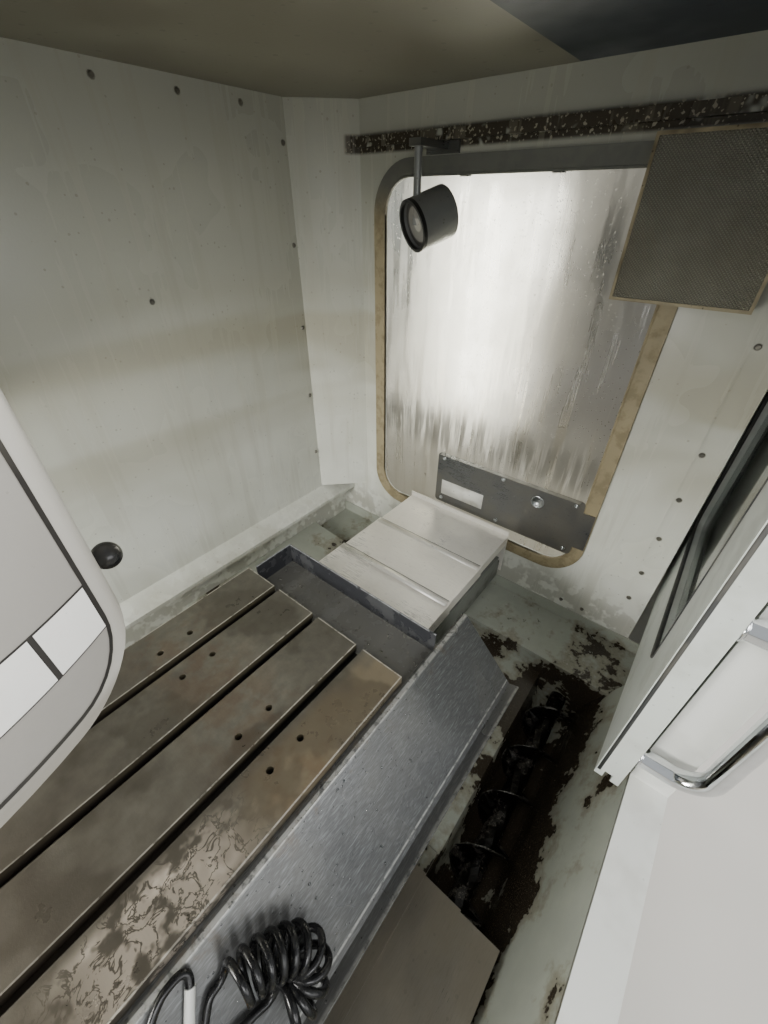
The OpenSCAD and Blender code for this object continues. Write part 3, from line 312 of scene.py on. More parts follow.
class Finish:
    """A material with one Principled shader. Its base colour builds up in coats."""

    def __init__(self, name, **plain):
        self.material = bpy.data.materials.new(name)
        self.material.use_nodes = True
        self.tree = self.material.node_tree
        self.tree.nodes.clear()
        self.shader = new_node(self.tree, "BsdfPrincipled", **plain)
        new_node(self.tree, "OutputMaterial", Surface=self.shader.outputs[0])
        split = new_node(self.tree, "SeparateXYZ", Vector=new_node(self.tree, "TexCoord").outputs["Object"])
        self.x, self.y, self.z = (Value(self.tree, s) for s in split.outputs)
        self.depth = self.y - SPINDLE_Y

    def set(self, label, value):
        plug(self.tree, self.shader.inputs[label], value)

    def noise(self, *args, **kw):
        return noise(self.tree, *args, **kw)

    def mix(self, mask, low, high):
        return blend(self.tree, mask, low, high)

    def level(self, mask, low, high):
        return blend(self.tree, mask, low, high, False)

    def coat(self, mask, colour):
        """Lays a colour over the base where the mask is 1."""
        self.base = self.mix(mask, self.base, colour)

    def blotches(self, scale, cover, softness):
        return effect(self.tree, blotch_group, scale, cover, softness)[0]

    def drops(self, scale, cover):
        """The mask and the height of the drops."""
        return effect(self.tree, drop_group, scale, cover)

    def runs(self, scale, cover):
        return effect(self.tree, streak_group, scale, cover)[0]

    def grain(self, along, contrast):
        """The shade and the height of brushing marks, with their stretch along each axis."""
        return effect(self.tree, grain_group, *along, contrast)

    def done(self, rough, height=None, distance=0, strength=0):
        """Sets the base colour, the roughness and the bump, whose distance is in metres."""
        self.set("Base Color", self.base)
        self.set("Roughness", rough)
        if height:
            node = new_node(self.tree, "Bump", Distance=distance, Strength=strength, Height=height)
            self.set("Normal", node.outputs[0])
        return self.material


def dress(material, *nodes):
    """Gives CAD nodes their material."""
    for name in nodes:
        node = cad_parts[name]
        if not node.material_slots:
            node.data.materials.append(material)
        for slot in node.material_slots:
            slot.material = material


def darker(colour, k):
    return tuple(c * k for c in colour[:3])


# Finishes

def wall_paint():
    """Satin paint with a milky film low down, made paler as painted light, painted shade on the upper wall,
    brown haze in bands, grime, runs and fine spatter.
    """
    m = Finish("wall_paint", Specular_IOR_Level=0.4)
    film = m.blotches(2.2, 0.62, 0.16)
    # the milky film low down, made paler as painted light on the lower walls
    low = m.z.below(0.98, 0.34)
    m.base = m.mix(film * low, hue("wall"), hue("wall_low"))
    # painted shade: darker patches over the upper wall and a darker band along the top
    shade = m.noise(1.3, 1, 0.5, 0.3, stretch=(0.5, 1, 1.6))
    m.coat(shade.above(0.5, 0.16) * 0.5 * m.z.above(1.2, 0.3), hue("wall", 0.45))
    m.coat(m.z.above(1.5, 0.2) * 0.4, hue("wall", 0.5))
    ribbon = m.noise(3, 1, 0.5, 0.6, stretch=(0.3, 1, 3)).above(0.5, 0.12)
    m.coat(ribbon * m.z.near(1.18, 0.16, 0.1) * 0.5, tone(148, 142, 118))
    spots = m.drops(120, 0.24)[0]
    m.coat(spots * 0.35, tone(112, 108, 92))
    grit = m.noise(24, 2, 0.6)
    foot = grit.above(0.48, 0.05) * m.z.below(0.66, 0.05)
    m.coat(foot * 0.4, tone(110, 104, 86))
    rail = m.z.inside(1.622, 1.656, 0.004) & m.x.math("ABSOLUTE").above(1.11, 0.004)
    m.coat(rail * grit.above(0.32, 0.05) * 0.95, tone(44, 36, 24))
    m.coat(rail * m.noise(150, 1).above(0.62, 0.03) * 0.6, tone(176, 170, 150))
    runs = m.runs(26, 0.36)
    m.coat(runs * 0.16, tone(150, 146, 126))
    outer = m.x.math("ABSOLUTE").above(1.137, 0.0006) | m.y.above(0.2296, 0.0004)
    m.coat(outer, m.mix(film * 0.15, hue("outside"), hue("outside", 0.8)))
    return m.done(m.level(film, 0.34, 0.24) + runs * 0.08, m.noise(240, 0), 0.0006, 0.14)


def head_paint():
    """Warm grey paint with fine texture, faint spatter and a dull foot."""
    m = Finish("head_paint", Specular_IOR_Level=0.45)
    m.base = m.mix(m.noise(2.4, 4, 0.6), hue("head", 0.88), hue("head"))
    film = m.blotches(9, 0.3, 0.12)
    m.coat(film * 0.22, tone(150, 146, 132))
    spots = m.drops(150, 0.14)[0]
    m.coat(spots * 0.4, tone(120, 114, 98))
    m.coat(m.z.below(1.262, 0.006) * 0.5, tone(96, 90, 78))
    return m.done(m.level(film, 0.38, 0.3), m.noise(420, 1), 0.0005, 0.2)


def roof_paint(name, colour, haze):
    """Dull roof paint with drips and brown haze."""
    m = Finish(name, Specular_IOR_Level=0.3)
    film = m.blotches(4, 0.5, 0.14)
    drops = m.drops(70, 0.35)
    m.base = m.mix(film * 0.5, colour, haze)
    m.coat(drops[0] * 0.45, darker(colour, 0.5))
    return m.done(m.level(film, 0.5, 0.36), m.noise(260, 1), 0.0006, 0.15)


def table_iron():
    """Ground cast iron, oil-stained brown, with bright worn rim edges, painted highlights on the slots' rear
    edges, painted shade inside the slots and pale patches.
    """
    m = Finish("table_iron", Specular_IOR_Level=0.5)
    stain = m.blotches(7, 0.52, 0.2)
    mottle = m.blotches(46, 0.5, 0.2)
    m.base = m.mix(mottle, hue("table"), tone(120, 117, 105))
    m.coat(stain * 0.6, tone(78, 74, 66))
    front = m.depth.below(-0.145, 0.012)
    veins = m.noise(34, 4, 0.6, 0.8).near(0.5, 0.02, 0.012)
    patches = m.blotches(22, 0.6, 0.05) * m.x.near(0.08, 0.1, 0.06) * veins.flip()
    m.coat(patches * front * 0.95, hue("table_bare"))
    gold = m.blotches(6, 0.7, 0.1) * m.x.above(0.2, 0.06)
    m.coat(gold * front * 0.6, tone(142, 128, 102))
    rust = m.blotches(26, 0.5, 0.12)
    m.coat(rust * m.x.near(0.293, 0.075, 0.06) * 0.35, tone(98, 72, 46))
    marks = m.grain((7, 0.8, 1), 0.6)
    m.coat(marks[0].math("ABSOLUTE") * 0.6, hue("table", 1.5))
    m.coat(m.noise(5, 4, 0.6).above(0.54, 0.03) * 0.4, tone(70, 66, 57))
    sunk = m.z.below(0.8252, 0.0003) & m.z.above(0.79, 0.001)
    front_edge, middle_edge, rear_edge = [(m.y - (SPINDLE_Y + row)).inside(0.0088, 0.0112, 0.0006)
                                          for row in (-SLOT_PITCH, 0.0, SLOT_PITCH)]
    edge = front_edge | middle_edge | rear_edge
    inner = m.depth.math("ABSOLUTE").below(0.2275, 0.0004) & m.x.near(TABLE_MIDDLE_X, 0.4566, 0.0004)
    top = m.z.above(0.8257, 0.0002)
    rim = m.depth.math("ABSOLUTE").above(0.2262, 0.0006)
    rim = rim | (m.x - TABLE_MIDDLE_X).math("ABSOLUTE").above(0.4548, 0.0006)
    broken = m.noise(60, 4, 0.6).above(0.4, 0.1)
    # bright worn edges round the rim, and a painted highlight along each slot's rear edge
    m.coat((edge | rim) * top * broken * 0.85, tone(196, 192, 180))
    # painted shade inside the slots: black low down and olive higher up, where light reaches the far wall
    m.coat(sunk * inner * 0.97, m.mix(m.z.above(0.815, 0.006), hue("slot"), tone(78, 72, 56)))
    ends = m.blotches(30, 0.6, 0.1)
    m.coat(m.z.below(0.79, 0.003) * ends * 0.7, tone(60, 62, 60))
    # darker towards the table's left end, outside the pale patches
    m.coat(m.x.below(0.12, 0.25) * (patches * front).flip() * 0.75, tone(62, 55, 47))
    m.set("Metallic", m.level(top, 0.25, 0.5))
    wet = m.blotches(5, 0.45, 0.12)
    return m.done(m.level(wet, 0.44, 0.26) + mottle * 0.05, m.noise(300, 2, 0.7), 0.0005, 0.25)


def brushed_plate(name, colour, along, metal=0.85, dirt=0.3):
    """Brushed steel plate with smears, water marks and spatter."""
    m = Finish(name, Specular_IOR_Level=0.5)
    shade, height = m.grain(along, 0.9)
    smear = m.blotches(6, 0.5, 0.18)
    m.base = m.mix(shade.math("ABSOLUTE") * 1.2, colour, darker(colour, 0.45))
    m.coat(smear * dirt, tone(126, 118, 98))
    drops = m.drops(110, 0.4)[0]
    m.coat(drops * 0.25, darker(colour, 0.5))
    m.set("Metallic", metal)
    return m.done(m.level(smear, 0.27, 0.42) + shade * 0.2, height, 0.0004, 0.18)


def apron_sheet():
    """Wet folded steel sheet: beaded drops, smears, a bright lip and foot that are worn and carry painted
    highlights, painted shade in a groove and on the front face.
    """
    m = Finish("apron_sheet", Metallic=0.5, Specular_IOR_Level=0.45)
    shade = m.grain((0.6, 5, 5), 0.8)[0]
    smear = m.blotches(5, 0.4, 0.25)
    m.base = m.mix(smear * 0.4, hue("apron"), tone(112, 110, 104))
    m.coat(shade.math("ABSOLUTE") * 1.1, tone(180, 184, 186))
    small, small_rise = m.drops(190, 0.5)
    m.coat(small * 0.2, tone(90, 92, 92))
    lip = m.z.near(0.817, 0.0035, 0.0015)
    foot = m.z.near(0.6885, 0.0012, 0.0008)
    worn = m.noise(70, 4, 0.65).above(0.42, 0.12)
    # the bright lip and foot: worn metal, with painted highlights along the edges
    m.coat((lip | foot) * worn * 0.6, tone(190, 190, 184))
    # painted shade: a dark line in the groove along the apron's top
    groove_shade = m.depth.near(-0.2375, 0.0022, 0.0008) & m.z.above(0.812, 0.001)
    m.coat(groove_shade * 0.8, tone(40, 40, 38))
    rust = m.blotches(40, 0.32, 0.06)
    m.coat(rust * m.z.above(0.8, 0.01) * 0.25, tone(92, 74, 50))
    # painted shade on the face past the slope's lower edge
    m.coat(m.y.below(SPINDLE_Y - 0.3712, 0.0008) * 0.45, tone(70, 70, 68))
    return m.done(m.level(smear, 0.24, 0.36) - small * 0.1, small_rise, 0.0012, 0.5)


def pan_paint():
    """Pan paint under ragged dark sludge, thickest towards the trough."""
    m = Finish("pan_paint", Specular_IOR_Level=0.5)
    big = m.noise(7, 5, 0.62)
    fine = m.noise(40, 3, 0.65)
    rows = m.noise(9, 2, 0.5, stretch=(0.15, 1, 1))
    field = big * 0.64 + fine * 0.2 + rows * 0.16
    deep = m.z.below(0.52, 0.05) * 0.13 + m.depth.below(-0.5, 0.06) * m.z.below(0.6, 0.06) * 0.03
    ledge = m.x.above(0.955, 0.02) * 0.05
    thick = (field + deep - ledge).above(0.59, 0.01)
    thin = (field + deep - ledge).above(0.545, 0.04)
    m.base = m.mix(m.noise(18, 4).above(0.5, 0.2) * 0.4, hue("pan"), hue("pan", 0.72))
    m.coat(thin * 0.6, tone(112, 104, 82))
    m.coat(thick, hue("sludge"))
    specks = m.noise(420, 3, 0.6).above(0.62, 0.03)
    m.coat(specks * thick * 0.5, tone(120, 116, 100))
    return m.done(m.level(thick, 0.36, 0.22), specks * thick, 0.0012, 0.6)


def auger_steel():
    """Black oily steel with clots of fine chips and bright worn rims on the flights."""
    m = Finish("auger_steel", Specular_IOR_Level=0.6)
    clots = m.blotches(30, 0.36, 0.08)
    specks = m.noise(380, 2, 0.7)
    out = m.y - (SPINDLE_Y - 0.462)
    up = m.z - 0.405
    rim = (out * out + up * up).math("SQRT").above(0.053, 0.001)
    m.base = m.mix(clots, hue("auger"), hue("auger", 1.8))
    m.coat(specks.above(0.6, 0.03) * clots * 0.7, tone(150, 144, 130))
    m.coat(rim * m.noise(50, 3).above(0.42, 0.1) * 0.6, tone(128, 126, 118))
    m.set("Metallic", m.level(clots, 0.75, 0.2))
    return m.done(m.level(clots, 0.16, 0.4), specks, 0.0012, 0.5)


def tray_paint():
    """Near-black blue paint, wet, with dull scuffs and a paler floor."""
    m = Finish("tray_paint", Specular_IOR_Level=0.55)
    scuff = m.blotches(22, 0.36, 0.08)
    drops = m.drops(130, 0.5)[0]
    floor = m.z.below(0.7965, 0.0008) & m.z.above(0.793, 0.0005)
    m.base = m.mix(floor * 0.8, hue("tray"), tone(98, 97, 91))
    m.coat(scuff * 0.3, tone(84, 85, 84))
    lip = m.z.above(0.8485, 0.0008)
    m.coat(lip * m.noise(80, 3).above(0.4, 0.1) * 0.75, tone(150, 152, 152))
    return m.done(m.level(scuff, 0.22, 0.45) - drops * 0.1, m.noise(200, 1), 0.0006, 0.15)


def misted_glass():
    """Thick pane, misted and streaked by condensation, with a painted dark patch for the view through its
    upper front.
    """
    m = Finish("misted_glass", Metallic=0.0, IOR=1.45, Transmission_Weight=0.92)
    runs = m.runs(34, 0.4)
    mist = m.blotches(5, 0.6, 0.22)
    drops, rise = m.drops(120, 0.7)
    m.base = m.mix(mist, tone(228, 227, 216), tone(206, 204, 190))
    # painted shade: a dark patch on the upper front of the pane stands in for dark things seen through it
    bar = m.noise(2.2, 2, 0.5, 0.3, stretch=(1, 3, 0.6))
    dark = (m.depth + bar * 0.2).below(0.02, 0.12) & (m.z + bar * 0.3).above(1.12, 0.16)
    m.coat(dark * 0.9, tone(84, 81, 73))
    m.coat(runs * 0.35 * m.z.below(1.25, 0.3), tone(150, 144, 124))
    fringe = m.runs(60, 0.55) & m.z.near(0.99, 0.06, 0.04)
    m.coat(fringe * 0.75, tone(84, 82, 74))
    m.coat(m.z.below(0.93, 0.05) * 0.55, tone(140, 136, 122))
    return m.done(m.level(mist, 0.3, 0.5) - (drops | runs) * 0.16, rise, 0.002, 0.6)


def clear_glass():
    """Door pane with light smears."""
    m = Finish("clear_glass", Metallic=0.0, IOR=1.45, Transmission_Weight=1.0)
    smear = m.blotches(6, 0.4, 0.2)
    m.base = m.mix(smear, tone(236, 240, 238), tone(212, 218, 214))
    return m.done(m.level(smear, 0.03, 0.14), m.noise(2, 0), 0.004, 0.05)


def aged_gasket():
    """Yellow-brown seal with dark crust."""
    m = Finish("aged_gasket", Specular_IOR_Level=0.35)
    crust = m.blotches(30, 0.42, 0.1)
    m.base = m.mix(m.noise(5, 3), hue("gasket", 0.85), tone(158, 146, 114))
    m.coat(crust * 0.35, tone(84, 72, 50))
    # greyer and darker along the top, above 1.53 m
    m.coat(m.z.above(1.53, 0.05) * 0.85, tone(96, 100, 98))
    return m.done(m.level(crust, 0.45, 0.7), m.noise(220, 1), 0.0005, 0.3)


def prism_lens():
    """Ribbed lens whose crossing ridges make small diamonds, with a painted shadow across its top."""
    m = Finish("prism_lens", Specular_IOR_Level=0.6, Transmission_Weight=0.15)
    ridge = 620.0
    a = ((m.y + m.z) * ridge).math("SINE").math("ABSOLUTE")
    b = ((m.y - m.z) * ridge).math("SINE").math("ABSOLUTE")
    height = a * b
    glow = m.noise(7, 3, 0.5)
    m.base = m.mix(height, hue("lens", 0.42), tone(186, 186, 170))
    m.coat(glow.above(0.5, 0.2) * 0.35, tone(110, 98, 70))
    # painted shadow across the top of the lens
    m.coat((m.z + glow * 0.1).above(1.56, 0.08) * 0.3, tone(58, 58, 52))
    return m.done(0.22, height, 0.003, 0.9)


def plain_paint(name, colour, rough=0.4, wear=0.2, metal=0.0, texture=260, wear_tone=(120, 116, 104)):
    """Painted or moulded surface with light soiling and a fine texture."""
    m = Finish(name, Metallic=metal, Specular_IOR_Level=0.45)
    soil = m.blotches(11, 0.34, 0.12)
    m.base = m.mix(m.noise(3, 3), darker(colour, 0.9), colour)
    m.coat(soil * wear, tone(*wear_tone))
    specks = m.drops(170, 0.12)[0]
    m.coat(specks * wear, tone(*[v * 0.6 for v in wear_tone]))
    return m.done(m.level(soil, rough, rough + 0.12), m.noise(texture, 1), 0.0005, 0.2)


def pendant_paint():
    """Textured dark case with a pale screen surround and coloured keys."""
    m = Finish("pendant_paint", Specular_IOR_Level=0.4)
    m.base = m.mix(m.noise(4, 3), hue("dark", 0.85), hue("dark"))
    face = m.y.below(-1.1105, 0.0003)
    pale, blue, amber, green = (196, 198, 194), (150, 168, 190), (206, 170, 92), (128, 160, 138)
    keys = (((0, 4, pale), (5, 6, green)), ((0, 2, pale), (3, 4, blue), (5, 6, amber)))
    for row in range(5):
        strip = m.z.near(1.122 + row * 0.036, 0.0115, 0.0008)
        for first, last, rgb in keys[row % 2]:
            x0, x1 = 0.81 + first * 0.032, 0.834 + last * 0.032
            m.coat(strip & m.x.inside(x0 - 0.002, x1 + 0.002, 0.0008) & face, tone(*rgb))
    wear = m.blotches(26, 0.25, 0.05)
    m.coat(wear * 0.25, tone(120, 118, 110))
    return m.done(0.5, m.noise(620, 1), 0.0006, 0.35)


def lamp_metal():
    """Spotted lamp tube whose mouth has a black ring and a pale inside."""
    m = Finish("lamp_tube", Specular_IOR_Level=0.5)
    # distance along the tube's axis towards the mouth, and from the axis
    axis = Vector((-0.864, 0.3974, -0.309)).normalized()
    middle = Vector((1.04041, -0.12581, 1.48907))
    along = (m.x - middle.x) * axis.x + (m.y - middle.y) * axis.y + (m.z - middle.z) * axis.z
    dx, dy, dz = (v - along * a - b for v, a, b in zip((m.x, m.y, m.z), axis, middle))
    reach = (dx * dx + dy * dy + dz * dz).math("SQRT")
    spots = m.drops(190, 0.3)[0]
    m.base = m.mix(m.noise(20, 3), tone(128, 130, 130), tone(156, 158, 156))
    m.coat(spots * 0.4, tone(70, 64, 50))
    ring = along.above(-0.001, 0.0008) & reach.above(0.0425, 0.0004)
    cup = along.below(-0.001, 0.0008) & reach.below(0.0435, 0.0004)
    m.coat(ring, tone(20, 20, 21))
    m.coat(cup, tone(62, 60, 58))
    m.coat(cup & reach.below(0.034, 0.002), tone(150, 148, 142))
    m.coat(cup & reach.below(0.014, 0.002), tone(206, 204, 196))
    m.set("Metallic", (ring | cup).flip() * 0.6)
    return m.done(m.level(spots, 0.3, 0.5), m.noise(300, 1), 0.0004, 0.15)


def glossy_hose():
    """Glossy black polyurethane with wet smears."""
    m = Finish("glossy_hose", Specular_IOR_Level=0.4)
    smear = m.blotches(60, 0.4, 0.15)
    m.base = m.mix(smear * 0.4, hue("hose"), tone(34, 34, 33))
    return m.done(m.level(smear, 0.2, 0.4), m.noise(300, 1), 0.0004, 0.15)


def polished(name, colour, rough=0.12):
    """Polished metal with finger smears."""
    m = Finish(name, Metallic=1.0)
    smear = m.blotches(30, 0.4, 0.2)
    m.base = m.mix(smear * 0.4, colour, darker(colour, 0.7))
    return m.done(m.level(smear, rough, rough + 0.16), m.noise(400, 1), 0.0002, 0.08)


def clear_drop():
    """Clear coolant."""
    m = Finish("clear_drop", IOR=1.33, Transmission_Weight=1.0, Metallic=0.0)
    m.base = m.mix(m.noise(40, 2), tone(226, 230, 230), tone(206, 212, 212))
    return m.done(m.level(m.noise(90, 2), 0.02, 0.06))


def screen_glass():
    """Dark display with plain bands of grey and blue."""
    m = Finish("screen_glass", Specular_IOR_Level=0.7, Coat_Weight=0.6, Coat_Roughness=0.04)
    m.base = m.mix(m.z.above(1.5, 0.0008), tone(26, 34, 44), tone(52, 84, 112))
    m.coat(m.z.below(1.372, 0.0008), tone(70, 78, 84))
    block = m.x.inside(0.83, 0.93, 0.0008) & m.z.inside(1.39, 1.485, 0.0008)
    m.coat(block, tone(34, 48, 60))
    m.coat(m.noise(30, 2) * 0.2, tone(40, 46, 52))
    return m.done(m.level(m.noise(12, 3), 0.1, 0.24))


def made(name):
    """A material that an earlier step has made."""
    return bpy.data.materials[name]


# Meshes

def add_mesh(name, points, faces, material, body):
    """A piece made of points in the machine's frame; it rides on a body and takes a finish slot."""
    mesh = bpy.data.meshes.new(name)
    mesh.from_pydata([tuple(p) for p in points], [], faces)
    mesh.validate()
    tidy = bmesh.new()
    tidy.from_mesh(mesh)
    bmesh.ops.recalc_face_normals(tidy, faces=tidy.faces)
    tidy.to_mesh(mesh)
    tidy.free()
    for face in mesh.polygons:
        face.use_smooth = True
    piece = bpy.data.objects.new(name, mesh)
    bpy.context.scene.collection.objects.link(piece)
    mesh.materials.append(material)
    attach(piece, body)


class Builder:
    """Collects points and faces of many small forms into one piece."""

    def __init__(self):
        self.points, self.faces = [], []

    def add(self, points, faces):
        base = len(self.points)
        self.points += [Vector(p) for p in points]
        self.faces += [[i + base for i in face] for face in faces]

    def lathe(self, middle, axis, profile, sides=24):
        """Turns a profile of (radius, distance along the axis) about an axis."""
        axis = Vector(axis).normalized()
        u = axis.orthogonal().normalized()
        v = axis.cross(u)
        points, n = [], len(profile)
        for k in range(sides):
            a = 2 * math.pi * k / sides
            for r, along in profile:
                points.append(Vector(middle) + axis * along + (u * math.cos(a) + v * math.sin(a)) * r)
        faces = [[k * n + i, ((k + 1) % sides) * n + i, ((k + 1) % sides) * n + i + 1, k * n + i + 1]
                 for k in range(sides) for i in range(n - 1)]
        faces += [[k * n for k in range(sides)][::-1], [k * n + n - 1 for k in range(sides)]]
        self.add(points, faces)

    def plate(self, low, high, edge=0.001):
        """A block with chamfered edges between two opposite corners."""
        low, high = (Vector([pick(pair) for pair in zip(low, high)]) for pick in (min, max))
        form = bmesh.new()
        bmesh.ops.create_cube(form, size=1)
        size, middle = high - low, (high + low) / 2
        for p in form.verts:
            p.co = Vector([p.co[i] * size[i] + middle[i] for i in range(3)])
        cut = min(edge, min(size) * 0.4)
        bmesh.ops.bevel(form, geom=form.edges[:], offset=cut, segments=2, affect="EDGES")
        form.verts.index_update()
        self.add([p.co.copy() for p in form.verts], [[p.index for p in f.verts] for f in form.faces])
        form.free()

    def sweep(self, line, profile, normal_hint=(0, 0, 1), closed=False):
        """Sweeps a closed profile of (side, up) offsets along a line."""
        m, n, points = len(line), len(profile), []
        for i, p in enumerate(line):
            a = line[i - 1] if (i or closed) else line[i]
            b = line[(i + 1) % m] if (i < m - 1 or closed) else line[i]
            run = (Vector(b) - Vector(a)).normalized()
            side = run.cross(Vector(normal_hint)).normalized()
            up = side.cross(run)
            points += [Vector(p) + side * s + up * t for s, t in profile]
        rings = m if closed else m - 1
        faces = [[i * n + k, i * n + (k + 1) % n, ((i + 1) % m) * n + (k + 1) % n, ((i + 1) % m) * n + k]
                 for i in range(rings) for k in range(n)]
        if not closed:
            faces += [list(range(n))[::-1], [(m - 1) * n + k for k in range(n)]]
        self.add(points, faces)

    def screw(self, middle, axis, r, h, sides=16):
        """Domed head with a flat and a socket."""
        self.lathe(middle, axis, [(0.0001, h * 0.35), (r * 0.45, h * 0.35), (r * 0.5, h), (r * 0.8, h * 0.95),
                                  (r, h * 0.5), (r, 0)], sides)

    def make(self, name, material, body, slot):
        add_mesh(name, self.points, self.faces, material, body)


def rounded_path(low, high, r, steps, put):
    """Closed rounded rectangle between two corners; put makes a point of its two coordinates."""
    line = []
    corners = ((high[0] - r, high[1] - r), (low[0] + r, high[1] - r), (low[0] + r, low[1] + r),
               (high[0] - r, low[1] + r))
    for quarter, (u, v) in enumerate(corners):
        for k in range(steps + 1):
            a = math.radians(90 * quarter + 90 * k / steps)
            line.append(put(u + r * math.cos(a), v + r * math.sin(a)))
    return line


# Camera, stage and hose

class MACHINE_OT_camera(bpy.types.Operator):
    """Places the camera at the picture's viewing angle"""
    bl_idname = "machine.camera"
    bl_label = "Camera"

    def execute(self, context):
        where = context.scene.machine_camera
        data = bpy.data.cameras.new("camera")
        data.lens, data.sensor_width, data.clip_start = where.lens, 36, 0.01
        camera = bpy.data.objects.new("camera", data)
        context.scene.collection.objects.link(camera)
        # the directions to the camera's right, up and back
        axes = ((0.62655517, -0.77937255, 0.0026531), (0.46114343, 0.37346361, 0.80490476),
                (-0.62831151, -0.50309378, 0.59339809))
        camera.matrix_world = Matrix.Translation(Vector(where.place)) @ Matrix(axes).transposed().to_4x4()
        context.scene.camera = camera
        return {"FINISHED"}


def soft_light(name, place, aim, size, power, colour=(1, 1, 1)):
    """A rectangular light that the camera doesn't see; inner_light isn't reflected either."""
    data = bpy.data.lights.new(name, "AREA")
    data.shape, data.size, data.size_y, data.energy, data.color = "RECTANGLE", size[0], size[1], power, colour
    light = bpy.data.objects.new(name, data)
    light.location = place
    light.rotation_euler = (Vector(aim) - Vector(place)).to_track_quat("-Z", "Y").to_euler()
    light.visible_camera = False
    light.visible_glossy = name != "inner_light"
    bpy.context.scene.collection.objects.link(light)


class MACHINE_OT_stage(bpy.types.Operator):
    """Makes the pale floor, the soft lights and the world"""
    bl_idname = "machine.stage"
    bl_label = "Stage"

    def execute(self, context):
        mesh = bpy.data.meshes.new("floor")
        mesh.from_pydata([(-14, -14, 0), (14, -14, 0), (14, 14, 0), (-14, 14, 0)], [], [(0, 1, 2, 3)])
        floor = bpy.data.objects.new("floor", mesh)
        context.scene.collection.objects.link(floor)
        m = Finish("floor_paint")
        m.base = m.mix(m.noise(2, 3), tone(198, 193, 184), tone(210, 206, 198))
        mesh.materials.append(m.done(0.7))
        world = bpy.data.worlds.new("studio")
        context.scene.world = world
        world.use_nodes = True
        shade = world.node_tree.nodes["Background"]
        shade.inputs[0].default_value = (*tone(224, 228, 230), 1)
        shade.inputs[1].default_value = 0.75
        soft_light("key_light", (-2.6, -4.2, 4.2), (0, 0, 1.0), (3, 2), 170)
        soft_light("side_light", (4.4, -0.6, 3.0), (0.4, 0, 1.0), (3, 2), 150)
        soft_light("rear_light", (-1.5, 4.6, 3.6), (0, 0, 1.2), (3, 2), 130)
        soft_light("inner_light", (-0.1, -0.40, 1.55), (0.15, -0.1, 0.8), (1.3, 0.4), 9)
        soft_light("inner_left", (-1.02, -0.1, 1.15), (0.4, 0.18, 0.85), (0.5, 0.5), 36, (1, 0.985, 0.95))
        soft_light("window_light", (1.95, 0.10, 1.15), (1.1, -0.05, 1.1), (0.5, 0.9), 13, (1, 0.985, 0.95))
        soft_light("front_light", (0.3, -2.3, 1.5), (0.1, 0.2, 0.8), (1.4, 0.6), 11)
        return {"FINISHED"}


# Places and lengths of the hose in millimetres
TABLE_X, APRON_TOP_Z, APRON_TOP_Y, APRON_RUN, APRON_FALL = 58.0, 815.0, 246.5, 124.0, 134.0
STRETCH = math.hypot(APRON_RUN, APRON_FALL) / APRON_RUN
CURL_ROUTE = [(22, 302), (45, 305), (68, 311), (91, 322), (107, 336), (104, 350), (88, 358), (66, 357),
              (44, 348)]
TAIL_ROUTE = [(9, 285.5), (-1, 292.5), (-14, 301), (-31, 305), (-47, 297), (-53, 280), (-41, 262), (-19, 252),
              (-1, 251.2), (4.5, 252), (8.2, 254.5), (9.5, 257.9)]
FITTING_ROUTE = [(5, 265), (-15, 286)]
CURL_LIFT, TAIL_LIFT, FITTING_LIFT = 30 * STRETCH + 0.45, 5 * STRETCH + 0.9, 6 * STRETCH + 0.9
END_BEND, COIL_STEP, LEAST_GAP = 16.0, 6.4, 2.5
PORT_AT, PORT_W, PORT_RISE = (-16, 324), 24.0, 14.0


def on_apron(p, lift):
    """A point over the apron's slope, in millimetres from the spindle axis."""
    return Vector((TABLE_X + p[0], -p[1], APRON_TOP_Z - (p[1] - APRON_TOP_Y) * APRON_FALL / APRON_RUN + lift))


def spline(p, steps):
    """Smooth line through the points p."""
    line = []
    for i in range(len(p) - 1):
        a, b, c, d = p[max(i - 1, 0)], p[i], p[i + 1], p[min(i + 2, len(p) - 1)]
        for k in range(steps):
            t = k / steps
            line.append(0.5 * (2 * b + (c - a) * t + (2 * a - 5 * b + 4 * c - d) * t * t
                               + (3 * b - a - 3 * c + d) * t ** 3))
    return line + [p[-1]]


def even(line, step):
    """The same line with evenly spaced points."""
    out, left = [line[0]], step
    for a, b in zip(line, line[1:]):
        span = (b - a).length
        while span > left:
            a = a + (b - a) * (left / span)
            out.append(a)
            span, left = (b - a).length, step
        left -= span
    return out + [line[-1]]


